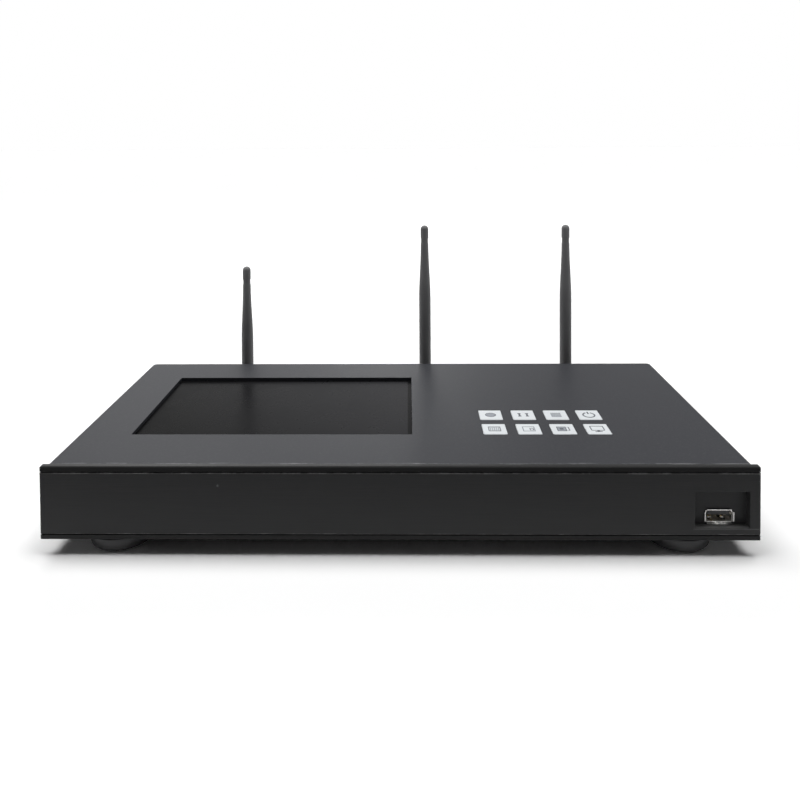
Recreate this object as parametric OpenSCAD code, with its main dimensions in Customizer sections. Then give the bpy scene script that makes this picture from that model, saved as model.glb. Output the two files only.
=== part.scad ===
// Desktop media player: a flat wide console with a screen and keys in its top, a USB socket in its
// front panel, a removable drive tray and sockets at the back, and three antennas that tilt.
// Millimetres. X to the right, Y to the back, Z up. The origin lies on the table under the middle.
// Inside the modules Y is counted from the front face, and from_front() moves it to the middle.

/* [Front panel] */
// Width of the front panel
panel_w = 360; // [356:1:400]
// Height of the front panel
panel_h = 37.3; // [37:0.1:45]
// Thickness of the front panel in front of the cover
panel_t = 3; // [2.6:0.1:5]
// Depth of the rim behind the panel, inside the cover
rim_d = 3; // [2.5:0.1:5]
// Thickness of the rim and of the ribs inside it
rib_t = 1.6; // [1:0.1:2.5]
// Radius of the panel's edges and corners
panel_r = 1.2; // [0.6:0.1:1.3]
// Height of the bead along the top and bottom edges
bead_h = 2.6; // [2:0.1:5]
// Height of the groove that sets off each bead
groove_h = 0.6; // [0.4:0.1:1.2]
// Depth of that groove
groove_d = 0.8; // [0.4:0.1:1.5]
// Chamfer along the lips of the groove
groove_lip = 0.2; // [0.1:0.05:0.4]

/* [USB recess] */
// Width of the recess in the front panel
recess_w = 27.2; // [22:0.1:32]
// Height of the recess
recess_h = 18.6; // [14:0.1:20]
// Depth of the recess
recess_d = 4.4; // [3.4:0.1:5]
// Distance from the recess to the panel's right end
recess_edge = 5.5; // [4.5:0.1:9]
// Distance from the recess up to the panel's top edge
recess_drop = 12.35; // [10:0.05:13]
// Width of the USB socket's shell behind its lips
usb_w = 13.2; // [13:0.1:14]
// Height of the USB socket's shell behind its lips
usb_h = 5.8; // [5.7:0.1:6.4]
// How far the lips flare out at the sides
usb_flare_x = 0.7; // [0.3:0.1:1]
// How far the lips flare out above and below
usb_flare_z = 0.9; // [0.3:0.05:1]
// Length of the USB socket
usb_l = 14; // [12:0.5:18]

/* [Top cover] */
// Depth of the top cover, front to back
cover_d = 150.7; // [148:0.1:170]
// How far the cover stands in from each end of the front panel
cover_inset = 3.05; // [2:0.05:5]
// How far the cover lies below the panel's top edge
cover_drop = 0.4; // [0.2:0.1:1]
// Thickness of the cover's top, which is the depth of the sunk screen
cover_t = 2; // [1.5:0.1:2.5]
// Thickness of the cover's sides and back
cover_wall = 1.5; // [1:0.1:2]
// Radius of the rear corners
corner_r = 5; // [3:0.1:8]
// Radius of the top edges
bend_r = 1; // [0.5:0.1:1.4]
// How far the cover wraps round each rear corner
rear_return = 11; // [9:0.5:13]
// Height of the cover's lip above the rear panel
rear_lip = 4.4; // [4:0.1:6]

/* [Screen] */
// Width of the screen window
window_w = 155.6; // [150:0.1:157]
// Depth of the screen window, front to back
window_d = 87.5; // [84:0.1:92]
// Middle of the screen window, left of the middle of the player
window_left = 70.2; // [66:0.1:76]
// Distance from the front face to the window and the keys
window_y = 37.9; // [34:0.1:44]
// Thickness of the screen glass
glass_t = 1.1; // [0.7:0.1:1.5]
// Width of the glass border that is glued under the cover
glass_lap = 3; // [2:0.1:4]
// Thickness of the screen module
module_t = 4.2; // [3:0.1:4.8]

/* [Keys] */
// Width and depth of a key
key_w = 13.3; // [11:0.1:14.5]
// Distance from key to key
key_pitch = 19.12; // [18:0.01:20]
// Left edge of the first key, right of the middle of the player
key_x = 47; // [44:0.1:60]
// Gap between a key and its hole
key_gap = 0.2; // [0.15:0.05:0.4]
// How far a key stands above the cover
key_rise = 0.15; // [0:0.05:0.3]
// How far a key goes down
key_travel = 0.5; // [0.3:0.05:0.6]

/* [Feet] */
// Clear height under the front panel
foot_h = 8; // [6:0.1:13]
// How far the front panel reaches down past the chassis
panel_skirt = 1.6; // [0.4:0.1:2.2]
// Diameter of a foot where it meets the chassis
foot_d = 30; // [28:0.5:34]
// Diameter of a foot at the table
foot_base_d = 27.5; // [25:0.5:28]
// Distance from the middle of a foot to the panel's end
foot_in = 35.5; // [34:0.5:50]
// Gap between the front feet and the front panel
foot_gap = 0.4; // [0.3:0.1:8]
// Distance from the cover's rear to the middle of the rear feet
foot_rear = 23; // [22:0.5:30]

/* [Antennas] */
// Distance of the left antenna from the middle of the player
antenna_left = 113.7; // [112:0.1:120]
// Distance of the middle antenna from the panel's right end
antenna_middle = 161.95; // [161:0.05:163]
// Distance of the right antenna from the panel's right end
antenna_right = 58.4; // [57:0.1:59]
// Length of the short left whip above its hinge
short_whip = 84; // [75:1:110]
// Length of the two long whips above their hinges
long_whip = 114; // [90:1:160]
// Diameter of a whip at its foot
whip_d = 8.5; // [8:0.1:9.4]
// Diameter of a whip at its tip
tip_d = 5.8; // [4.4:0.1:6.4]
// Distance from the cover's rear face to the whips' axes
whip_back = 18.2; // [17:0.1:22]
// Distance from the panel's top edge down to the hinges
antenna_drop = 18; // [16:0.5:19]

/* [Drive tray] */
// Width of the hard drive
drive_w = 69.85; // [69:0.05:71]
// Length of the hard drive
drive_l = 100.2; // [90:0.1:100.5]
// Height of the hard drive
drive_h = 9.5; // [7:0.5:11]
// Middle of the drive tray, left of the middle of the player
tray_left = 57; // [56:0.5:58]
// Thickness of the tray's floor and sides
tray_t = 1.4; // [1:0.1:1.8]

/* [Fan] */
// Width and height of the fan
fan_w = 25; // [20:0.5:25.5]
// Thickness of the fan
fan_t = 10; // [9:0.5:12]
// Number of fan blades
blades = 7; // [5:1:9]

/* [Sheet metal] */
// Thickness of the chassis and of the rear panel
sheet_t = 1.2; // [0.8:0.1:1.4]
// Thickness of the drive cage and of the screen bracket
thin_t = 1; // [0.8:0.1:1.2]
// Thickness of a circuit board
board_t = 1.6; // [1:0.1:1.8]
// Radius of the M3 screws' shanks
screw_r = 1.45; // [1.2:0.05:1.5]

/* [Hidden] */
$fn = 48;

// Colours
charcoal = "#3b3e43";
panel_black = "#1d1f21";
steel_grey = "#8f9397";
bright = "#c9ccd0";
rubber_black = "#1a1b1c";
key_grey = "#d9dadc";
board_green = "#1f5a3a";
plastic_black = "#151618";
glass_black = "#0c0d10";
rail_plastic = "#22262b";
brass = "#b58f3c";
ribbon_orange = "#c2843a";

// Clearances
seam = 0.1;      // between the front panel and the cover
fit = 0.2;       // between sheets that lie inside each other
slack = 0.15;    // between a part that slides and its guide
turn_gap = 0.06; // between a shaft and its bore
screw_gap = 0.1; // between a screw and its hole
past = 1;        // how far a cut runs past the face that it opens

// Levels
panel_top = foot_h + panel_h;
panel_mid = foot_h + panel_h / 2;
floor_z = foot_h + panel_skirt;
floor_top = floor_z + sheet_t;
cover_top = panel_top - cover_drop;
cover_under = cover_top - cover_t;
board_rise = 5;
board_z = floor_top + board_rise;
board_top = board_z + board_t;
module_top = cover_under - glass_t;
module_z = module_top - module_t;
antenna_z = panel_top - antenna_drop;

// Depths
cover_y = panel_t + seam;
rim_y = panel_t + rim_d;
rear_y = cover_y + cover_d;
back_out = rear_y - cover_wall - fit;
back_in = back_out - sheet_t;
chassis_y = rim_y + fit;
flange_y = chassis_y + sheet_t;
hinge_y = rear_y + whip_back;
total_d = hinge_y + whip_d / 2;

// Widths
cover_w = panel_w - 2 * cover_inset;
inner_w = cover_w - 2 * cover_wall - 2 * fit;
back_w = cover_w - 2 * corner_r - 2 * cover_wall;

// Screws
head_r = 2.7;
head_h = 1.6;
boss_r = 3.1;
hole_r = screw_r + screw_gap;
screw_end = 1;   // how far a tip stands past what its screw holds
screen_hole = 4; // depth of the holes in the screen bosses
key_hole = 5;    // depth of the holes in the key board's bosses
hole_end = 0.6;  // left free under a tip in a blind hole

// USB socket in its recess
usb_x = panel_w / 2 - recess_edge - recess_w / 2;
recess_z = panel_top - recess_drop - recess_h;
usb_z = recess_z + usb_h / 2 + usb_flare_z + 0.1;
usb_lip = 0.9;
usb_y = recess_d - usb_lip;
usb_wall = 0.35;
usb_board_w = recess_w - 4;
usb_board_top = usb_z - usb_h / 2;

// Keys
key_r = 0.9;
key_bevel = 0.3;
key_flange = 1.1;
key_flange_t = 1;
flange_gap = 0.3;
stem_r = 1.6;
switch_w = 6;
switch_h = 3.5;
well_d = key_travel + 1;
key_board_drop = 7.3;
key_board_top = cover_under - key_board_drop;
key_columns = 4;
key_rows = 2;
key_board_edge = 7;
key_field_w = (key_columns - 1) * key_pitch + key_w;
key_field_d = (key_rows - 1) * key_pitch + key_w;

// Feet
pad_t = 1.5;
pad_sink = 0.9;
pad_in_r = 7.5;
pad_edge = 1.5;
pad_out_r = foot_base_d / 2 - pad_edge;
foot_seat_t = 3;
foot_x = panel_w / 2 - foot_in;
foot_ys = [panel_t + foot_gap + foot_d / 2, rear_y - foot_rear];

// Screen
window_x = -window_left;
window_mid = window_y + window_d / 2;
module_lap_x = 4.7;
module_lap_y = 6.25;
module_w = window_w + 2 * module_lap_x;
module_d = window_d + 2 * module_lap_y;
screen_boss_in = 8;
screen_boss_gap = 0.4;
screen_boss_x = module_w / 2 - screen_boss_in;
screen_boss_y = module_d / 2 + boss_r + screen_boss_gap;

// Flat cable from the screen module's right edge down to its connector on the main board
ribbon_w = 20;
ribbon_t = 0.4;
ribbon_y = window_mid;
ribbon_out = 3;
ribbon_end = 5;
ribbon_x = window_x + module_w / 2 + 0.05;
connector_d = 5;
connector_h = 1.2;
connector_in = 1.5;
connector_x = ribbon_x + ribbon_out + ribbon_end + connector_in;

// Processor with its heat sink, beside the memory chips and the ribbon's connector
memory_gap = 3;
memory_w = 8;
memory_x = 33;
sink_x = connector_x + memory_gap + memory_w / 2 + memory_x;

// Fan
fan_edge = 2;
fan_gap = 0.1;
fan_x = cover_w / 2 - rear_return - fan_edge - fan_w / 2;
fan_z = floor_top + sheet_t + fan_gap + fan_w / 2;
fan_y = back_in - fan_t;
fan_rim = 0.8;
fan_bore_r = fan_w / 2 - fan_rim;
fan_hub_r = fan_w * 0.26;
fan_hole = fan_w / 2 - 2.6;
fan_hole_l = 6;
strut_t = 2;
stator_r = fan_hub_r - 1.4;

// Drive, tray and cage
tray_x = -tray_left;
tray_gap = 0.2;
tray_w = drive_w + 2 * tray_gap + 2 * tray_t;
rail_h = 1.6;
rail_w = 3;
tray_z = floor_top + rail_h + slack;
drive_z = tray_z + tray_t;
drive_end = back_in - 4.2;
drive_y = drive_end - drive_l;
tray_wall_h = drive_h - 1;
cage_in_w = tray_w + 2 * 0.35;
cage_w = cage_in_w + 2 * thin_t;
cage_in_z = drive_z + drive_h + 2.9;
cage_top = cage_in_z + thin_t;
cage_y = drive_y - 6;
cage_foot = 7;
mouth_w = cage_in_w + 1;
mouth_z = tray_z - slack;
mouth_h = cage_in_z - mouth_z;
face_lap = 2.2;
face_t = 2.2;
face_y = back_out + slack;
face_plug = 3.5;
cage_l = face_y - face_plug - 0.4 - cage_y;
face_ear = 12;
face_z = mouth_z - 0.9;
face_h = mouth_h + 0.9 + face_lap;
face_left = tray_x - mouth_w / 2 - face_lap;
face_w = mouth_w + face_lap + face_ear;
thumb_x = tray_x + mouth_w / 2 + face_ear / 2 + 0.4;
thumb_z = face_z + face_h / 2;
thumb_r = 4.6;
thumb_l = 6.5;
thumb_pin_r = 1.5;
socket_w = 40;
socket_h = 6;
socket_t = 5.6;
socket_gap = 0.2;
socket_rise = 0.4;
plug_w = 34;
plug_h = 1.3;
plug_l = 4;
plug_rise = 2.55;

// Main board, from the drive cage to the fan
board_cage_gap = 14;
board_fan_gap = 9;
board_x = tray_x + cage_w / 2 + cage_foot + board_cage_gap;
board_right = fan_x - fan_w / 2 - board_fan_gap;
board_w = board_right - board_x;
board_y = 50;
board_d = back_in - 1 - board_y;
board_edge = 6;
board_post_back = 16;
standoff_r = 2.8;

// Sizes of the rear sockets
socket_out = back_out + 0.4;
power_w = 9;
power_h = 11;
power_l = 14;
power_bore_r = 2.8;
power_bore_l = 9;
network_w = 16;
network_h = 13.4;
network_l = 18;
port_w = 11.8;
port_h = 7.4;
port_l = 13;
port_z = 3.6;
port_key_w = 6.4;
port_key_h = 2;
video_w = 15.2;
video_h = 5.8;
video_l = 11;
video_mouth_w = 14;
video_mouth_h = 4.55;
video_mouth_l = 9;
audio_w = 7;
audio_h = 7.4;
audio_l = 12;
audio_bore_r = 1.8;
audio_nose_r = 3;

// Places of the rear sockets, from the main board's right edge to the left
port_space = 2;
audio_edge = 19.4;
audio_pitch = 8.6;
audio_xs = [board_right - audio_edge - audio_pitch, board_right - audio_edge];
video_right = audio_xs[0] - audio_w / 2 - port_space - video_w / 2;
video_xs = [video_right - video_w - port_space, video_right];
network_x = video_xs[0] - video_w / 2 - 2 * port_space - network_w / 2;
power_x = network_x - network_w / 2 - 2 * port_space - power_w / 2;

// Antennas
antenna_xs = [-antenna_left, panel_w / 2 - antenna_middle, panel_w / 2 - antenna_right];
thread_r = 3.175;
thread_out = 8.4;
nut_r = 4.6;
nut_t = 2;
jack_r = 2.4;
jack_l = 7;
knuckle_r = 4.9;
knuckle_y = back_out + nut_t + 0.4;
ear_r = whip_d / 2 - 0.05;
ear_t = 1.9;
tongue_w = 4.4;
tongue_gap = 0.2;
fork_w = tongue_w + 2 * tongue_gap + 2 * ear_t;
pin_r = 1.5;
whip_base = ear_r + 0.35;

// Moves a piece drawn from the front face to the frame's middle
module from_front() {
  translate([0, -total_d / 2, 0]) children();
}

// Rectangle with round corners, centred
module rounded_square(w, d, r) {
  square([w - 2 * r, d], center = true);
  square([w, d - 2 * r], center = true);
  for (x = [-1, 1], y = [-1, 1]) {
    translate([x * (w / 2 - r), y * (d / 2 - r)]) circle(r);
  }
}

// Lying plate with round corners, its underside at Z 0
module plate(w, d, t, r) {
  linear_extrude(t) rounded_square(w, d, r);
}

// Standing plate across X, its front at Y 0
module upright(w, h, t, r) {
  translate([0, t, 0]) rotate([90, 0, 0]) linear_extrude(t) rounded_square(w, h, r);
}

// Standing plate along Y, its left face at X 0
module sideways(d, h, t, r) {
  rotate([90, 0, 90]) linear_extrude(t) rounded_square(d, h, r);
}

// Block centred in X, from its front and its underside
module block(w, d, h) {
  translate([-w / 2, 0, 0]) cube([w, d, h]);
}

// Round bar along Y
module rod_y(r, l) {
  rotate([-90, 0, 0]) cylinder(r = r, h = l);
}

// Round bar along X, centred
module rod_x(r, l) {
  rotate([0, 90, 0]) cylinder(r = r, h = l, center = true);
}

// Pan head screw, its head seat at Z 0 and its shank downwards
module screw(l) {
  difference() {
    union() {
      cylinder(r = head_r, h = head_h * 0.6);
      translate([0, 0, head_h * 0.6]) cylinder(r1 = head_r, r2 = head_r * 0.75, h = head_h * 0.4);
      translate([0, 0, -l]) cylinder(r = screw_r, h = l);
    }
    for (a = [0, 90]) {
      rotate([0, 0, a]) translate([-head_r * 0.55, -0.3, head_h * 0.4]) cube([head_r * 1.1, 0.6, head_h]);
    }
  }
}

/* ---- Front panel ---- */

// Section of a groove: into the panel along X, up along Y
module groove_section() {
  outer = groove_h / 2 + groove_lip;
  inner = groove_h / 2;
  polygon([
    [-past, outer], [0, outer], [groove_lip, inner], [groove_d, inner],
    [groove_d, -inner], [groove_lip, -inner], [0, -outer], [-past, -outer]
  ]);
}

// One groove along the front and round both ends, at height z
module panel_groove(z) {
  translate([-panel_w / 2 - past, 0, z]) rotate([90, 0, 90]) {
    linear_extrude(panel_w + 2 * past) groove_section();
  }
  for (side = [0, 1]) mirror([side, 0, 0]) {
    translate([-panel_w / 2, panel_t, z]) rotate([90, 0, 0]) {
      linear_extrude(panel_t + past) groove_section();
    }
  }
}

// The slab in front, with all its edges round
module panel_slab() {
  intersection() {
    translate([0, 0, panel_mid]) upright(panel_w, panel_h, panel_t, panel_r);
    translate([0, panel_t, foot_h - past]) plate(panel_w, 2 * panel_t, panel_h + 2 * past, panel_r);
    translate([-panel_w / 2 - past, panel_t, panel_mid]) {
      sideways(2 * panel_t, panel_h, panel_w + 2 * past, panel_r);
    }
  }
}

rim_z = floor_z;
rim_h = cover_under - fit - rim_z;
rib_count = 5;
panel_boss_edge = 50;
panel_boss_xs = [for (i = [-1.5, -0.5, 0.5, 1.5]) i * (inner_w - panel_boss_edge) / 4];
panel_boss_rise = 7;
panel_boss_z = floor_top + panel_boss_rise;

// Rim behind the slab with its ribs, bosses and the housing of the recess
module panel_rim() {
  housing_l = usb_x - recess_w / 2 - rib_t;
  difference() {
    translate([0, panel_t, rim_z]) block(inner_w, rim_d, rim_h);
    translate([0, panel_t, rim_z + rib_t]) block(inner_w - 2 * rib_t, rim_d + past, rim_h - 2 * rib_t);
  }
  for (i = [1:rib_count]) {
    x = -inner_w / 2 + i * inner_w / (rib_count + 1);
    translate([x, panel_t, rim_z]) block(rib_t, rim_d, rim_h);
  }
  translate([housing_l, panel_t, recess_z - rib_t]) {
    cube([inner_w / 2 - housing_l, rim_d, recess_h + 2 * rib_t]);
  }
  for (x = panel_boss_xs) translate([x, panel_t, panel_boss_z]) rod_y(boss_r, rim_d);
}

module front_panel() {
  color(panel_black) from_front() difference() {
    union() {
      panel_slab();
      panel_rim();
    }
    panel_groove(panel_top - bead_h - groove_h / 2);
    panel_groove(foot_h + bead_h + groove_h / 2);
    translate([usb_x, -past, recess_z + recess_h / 2]) upright(recess_w, recess_h, recess_d + past, 0.8);
    translate([usb_x, 0, usb_z]) upright(usb_w + 2 * fit, usb_h + 2 * fit, rim_y + past, 0.6);
    for (x = panel_boss_xs) {
      translate([x, rim_y - rim_d, panel_boss_z]) rod_y(hole_r, rim_d + past);
    }
  }
}

/* ---- Top cover ---- */

// Plan of the cover with round rear corners, drawn in by i, from depth y
module cover_plan(i, y) {
  w = cover_w - 2 * i;
  r = corner_r - i;
  end = rear_y - i;
  translate([-w / 2, y]) square([w, end - r - y]);
  translate([-w / 2 + r, y]) square([w - 2 * r, end - y]);
  for (x = [-1, 1]) translate([x * (w / 2 - r), end - r]) circle(r);
}

// The cover's outside with its round top edges
module cover_body() {
  h = cover_top - floor_z;
  intersection() {
    translate([0, 0, floor_z]) linear_extrude(h) cover_plan(0, cover_y);
    translate([0, cover_y, floor_z]) upright(cover_w, 2 * h, cover_d, bend_r);
    translate([-cover_w / 2, cover_y, floor_z]) sideways(2 * cover_d, 2 * h, cover_w, bend_r);
  }
}

vent_count = 14;
vent_pitch = 5;
vent_w = 2;
vent_h = 15;
vent_y = 62;
vent_rise = 19;
side_screw_front = 36;
side_screw_back = 16;
side_screw_ys = [side_screw_front, rear_y - side_screw_back];
side_screw_rise = 8;
side_screw_z = floor_top + side_screw_rise;
lip_screw_edge = 27;
lip_screw_xs = [for (i = [-1, -1 / 3, 1 / 3, 1]) i * (cover_w / 2 - lip_screw_edge)];
lip_screw_z = cover_under - rear_lip / 2 - 0.2;

// Slots in both sides of the cover
module side_vents() {
  for (i = [0:vent_count - 1]) {
    translate([-cover_w / 2 - past, vent_y + i * vent_pitch, floor_z + vent_rise]) {
      sideways(vent_w, vent_h, cover_w + 2 * past, vent_w / 2 - 0.05);
    }
  }
}

// Places its children at each key's middle, at Z 0
module at_key(column, row) {
  translate([
    key_x + key_w / 2 + column * key_pitch,
    window_y + key_w / 2 + row * key_pitch,
    0
  ]) children();
}

// Places its children at the four corners of the screen bracket
module at_screen_bosses() {
  for (x = [-1, 1], y = [-1, 1]) {
    translate([window_x + x * screen_boss_x, window_mid + y * screen_boss_y, 0]) children();
  }
}

// Places its children at the four corners of the key board
module at_key_bosses() {
  for (x = [-1, 1], y = [-1, 1]) {
    translate([
      key_x + key_field_w / 2 + x * (key_field_w / 2 + key_board_edge - boss_r),
      window_y + key_field_d / 2 + y * (key_field_d / 2 + key_board_edge - boss_r),
      0
    ]) children();
  }
}

// Boss under the cover, down to level z
module cover_boss(z) {
  translate([0, 0, z]) cylinder(r = boss_r, h = cover_under - z + 0.5);
}

module top_cover() {
  color(charcoal) from_front() difference() {
    union() {
      difference() {
        cover_body();
        translate([0, 0, floor_z - past]) {
          linear_extrude(cover_under - floor_z + past) cover_plan(cover_wall, cover_y - past);
        }
        translate([0, rear_y - cover_wall - past, floor_z - past]) {
          block(cover_w - 2 * rear_return, cover_wall + 2 * past, cover_under - rear_lip - floor_z + past);
        }
      }
      at_screen_bosses() cover_boss(module_z);
      at_key_bosses() cover_boss(key_board_top);
    }
    translate([window_x, window_mid, cover_under - past]) plate(window_w, window_d, cover_t + 2 * past, 0.6);
    for (column = [0:key_columns - 1], row = [0:key_rows - 1]) at_key(column, row) {
      hole = key_w + 2 * key_gap;
      translate([0, 0, cover_under - past]) plate(hole, hole, cover_t + 2 * past, key_r + key_gap);
    }
    side_vents();
    at_screen_bosses() translate([0, 0, module_z - past]) {
      cylinder(r = hole_r, h = screen_hole + past);
    }
    at_key_bosses() translate([0, 0, key_board_top - past]) cylinder(r = hole_r, h = key_hole + past);
    for (y = side_screw_ys) translate([0, y, side_screw_z]) rod_x(hole_r, cover_w + 2 * past);
    for (x = lip_screw_xs) translate([x, rear_y - cover_wall - past, lip_screw_z]) {
      rod_y(hole_r, cover_wall + 2 * past);
    }
  }
}

/* ---- Bottom chassis and rear panel ---- */

side_flange_h = 12;
front_flange_h = 12;
floor_slots = 8;
floor_slot_pitch = 6;
floor_slot_w = 26;
floor_slot_d = 2.4;
floor_slot_y = 70;
floor_slot_edge = 32;
floor_slot_xs = [floor_slot_edge - inner_w / 2, sink_x, inner_w / 2 - floor_slot_edge];

// Three rows of slots in the floor under the boards
module floor_vents() {
  for (i = [0:floor_slots - 1], x = floor_slot_xs) {
    translate([x, floor_slot_y + i * floor_slot_pitch, floor_z - past]) {
      plate(floor_slot_w, floor_slot_d, sheet_t + 2 * past, floor_slot_d / 2 - 0.1);
    }
  }
}

back_screw_gap = 4;
back_screw_x = tray_left + cage_w / 2 + cage_foot + back_screw_gap;
back_screw_xs = [-back_screw_x, 0, back_screw_x];
back_flange_d = 9;
back_flange_in = 4;

module bottom_chassis() {
  flange_l = rear_y - corner_r - cover_wall - chassis_y - 2;
  color(steel_grey) from_front() difference() {
    union() {
      translate([0, 0, floor_z]) linear_extrude(sheet_t) intersection() {
        cover_plan(cover_wall + fit, chassis_y);
        translate([-panel_w / 2, 0]) square([panel_w, back_out]);
      }
      for (side = [0, 1]) mirror([side, 0, 0]) {
        translate([-inner_w / 2, chassis_y, floor_z]) cube([sheet_t, flange_l, side_flange_h + sheet_t]);
      }
      translate([0, chassis_y, floor_z]) block(inner_w, sheet_t, front_flange_h + sheet_t);
    }
    translate([usb_x, chassis_y - past, floor_top]) {
      block(recess_w + 2, sheet_t + 2 * past, front_flange_h + past);
    }
    floor_vents();
    for (x = [-foot_x, foot_x], y = foot_ys) translate([x, y, floor_z - past]) {
      cylinder(r = hole_r, h = sheet_t + 2 * past);
    }
    for (x = back_screw_xs) translate([x, back_in - back_flange_d / 2, floor_z - past]) {
      cylinder(r = hole_r, h = sheet_t + 2 * past);
    }
    for (x = panel_boss_xs) translate([x, chassis_y - past, panel_boss_z]) rod_y(hole_r, sheet_t + 2 * past);
    for (y = side_screw_ys) translate([0, y, side_screw_z]) rod_x(hole_r, cover_w);
    at_cage_screws() translate([0, 0, floor_z - past]) cylinder(r = hole_r, h = sheet_t + 2 * past);
  }
}

grille_slot_w = 2.2;
grille_slot_h = 9;
grille_slot_r = grille_slot_w / 2 - 0.05;
grille_pitch = 5.2;
grille_row = 11.5;
grille_rise = 10;
grille_edge = 9.45;
grille_space = 7.4;
grille_w = back_w / 2 - grille_edge - antenna_left - nut_r - grille_space;
grille_slots = floor(grille_w / grille_pitch) + 1;
fan_slots = 7;
fan_web = 1;

// Slots of the fan's grille, cut to a circle
module fan_grille() {
  pitch = 2 * fan_bore_r / (fan_slots + 0.6);
  for (i = [-(fan_slots - 1) / 2:(fan_slots - 1) / 2]) {
    half = sqrt(pow(fan_bore_r - 0.6, 2) - pow(abs(i) * pitch + 0.3, 2));
    for (side = [-1, 1]) {
      translate([fan_x + side * (half + fan_web) / 2, back_in - past, fan_z + i * pitch]) {
        upright(half - fan_web, grille_slot_w, sheet_t + 2 * past, grille_slot_r);
      }
    }
  }
}

// Two rows of slots between the rear panel's left end and the left antenna
module left_grille() {
  for (i = [0:grille_slots - 1], j = [0, 1]) {
    translate([
      grille_edge - back_w / 2 + i * grille_pitch, back_in - past, floor_top + grille_rise + j * grille_row
    ]) upright(grille_slot_w, grille_slot_h, sheet_t + 2 * past, grille_slot_r);
  }
}

module rear_panel() {
  cut = sheet_t + 2 * past;
  h = cover_under - fit - floor_top;
  color(charcoal) from_front() difference() {
    union() {
      translate([0, back_in, floor_top]) block(back_w, sheet_t, h);
      translate([0, back_in - back_flange_d, floor_top]) {
        block(back_w - 2 * back_flange_in, back_flange_d, sheet_t);
      }
    }
    translate([tray_x, back_in - back_flange_d - past, floor_top - past]) {
      block(cage_w + 2 * cage_foot + 1, back_flange_d + past, sheet_t + 2 * past);
    }
    translate([tray_x, back_in - past, mouth_z + mouth_h / 2]) upright(mouth_w, mouth_h, cut, 0.8);
    translate([thumb_x, back_in - past, thumb_z]) rod_y(thumb_pin_r + screw_gap, cut);
    for (x = antenna_xs) translate([x, back_in - past, antenna_z]) rod_y(thread_r + screw_gap, cut);
    translate([power_x, back_in - past, board_top]) block(power_w + 2 * fit, cut, power_h + fit);
    translate([network_x, back_in - past, board_top]) block(network_w + 2 * fit, cut, network_h + fit);
    for (x = video_xs) translate([x, back_in - past, board_top]) block(video_w + 2 * fit, cut, video_h + fit);
    for (x = audio_xs) translate([x, back_in - past, board_top + audio_h / 2]) rod_y(audio_nose_r + fit, cut);
    fan_grille();
    left_grille();
    at_fan_screws() translate([0, back_in - past, 0]) rod_y(hole_r, cut);
    for (x = lip_screw_xs) translate([x, back_in - past, lip_screw_z]) rod_y(hole_r, cut);
    for (x = back_screw_xs) translate([x, back_in - back_flange_d / 2, floor_top - past]) {
      cylinder(r = hole_r, h = cut);
    }
  }
}

/* ---- Feet ---- */

// Places its children at the four feet
module at_feet() {
  for (x = [-foot_x, foot_x], y = foot_ys) translate([x, y, 0]) children();
}

module feet() {
  top_r = foot_d / 2;
  base_r = foot_base_d / 2;
  base_z = pad_t - pad_sink;
  seat_z = floor_z - foot_seat_t;
  color(plastic_black) from_front() at_feet() rotate_extrude() polygon([
    [hole_r, seat_z], [head_r + 1, seat_z], [head_r + 1, base_z], [pad_in_r - 0.1, base_z],
    [pad_in_r - 0.1, pad_t], [pad_out_r + 0.1, pad_t], [pad_out_r + 0.1, base_z],
    [base_r - 0.6, base_z], [base_r, base_z + 0.6], [top_r - 0.4, floor_z - 1.6],
    [top_r, floor_z - 1.2], [top_r, floor_z], [hole_r, floor_z]
  ]);
}

module foot_pads() {
  color(rubber_black) from_front() at_feet() rotate_extrude() polygon([
    [pad_in_r, 0], [pad_out_r - 0.3, 0], [pad_out_r, 0.3], [pad_out_r, pad_t], [pad_in_r, pad_t]
  ]);
}

module foot_screws() {
  color(steel_grey) from_front() at_feet() {
    translate([0, 0, floor_z - foot_seat_t]) mirror([0, 0, 1]) screw(foot_seat_t + sheet_t + screw_end);
  }
}

/* ---- Screen ---- */

module screen_glass() {
  color(glass_black) from_front() translate([window_x, window_mid, module_top]) {
    plate(window_w + 2 * glass_lap, window_d + 2 * glass_lap, glass_t, 1.5);
  }
}

module screen_module() {
  rim = 5.2;
  sink = 0.8;
  color(steel_grey) from_front() translate([window_x, window_mid, module_z]) difference() {
    plate(module_w, module_d, module_t, 1.5);
    translate([0, 0, -past]) plate(module_w - 2 * rim, module_d - 2 * rim, past + sink, 1);
  }
}

// Sheet frame with four ears that holds the module up against the glass
module screen_bracket() {
  edge = 2;
  bar = 8;
  frame_w = module_w - 2 * edge;
  window_pitch = (frame_w - bar) / 3;
  color(steel_grey) from_front() translate([window_x, window_mid, module_z - thin_t]) difference() {
    union() {
      plate(frame_w, module_d - 2 * edge, thin_t, edge);
      for (x = [-1, 1]) translate([x * screen_boss_x, 0, 0]) {
        plate(2 * boss_r, 2 * (screen_boss_y + boss_r), thin_t, boss_r - 0.05);
      }
    }
    for (x = [-1, 0, 1]) translate([x * window_pitch, 0, -past]) {
      plate(window_pitch - bar, module_d - 4 * bar, thin_t + 2 * past, 3);
    }
    for (x = [-1, 1], y = [-1, 1]) translate([x * screen_boss_x, y * screen_boss_y, -past]) {
      cylinder(r = hole_r, h = thin_t + 2 * past);
    }
  }
}

module screen_screws() {
  color(steel_grey) from_front() at_screen_bosses() {
    translate([0, 0, module_z - thin_t]) mirror([0, 0, 1]) screw(thin_t + screen_hole - hole_end);
  }
}

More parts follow.
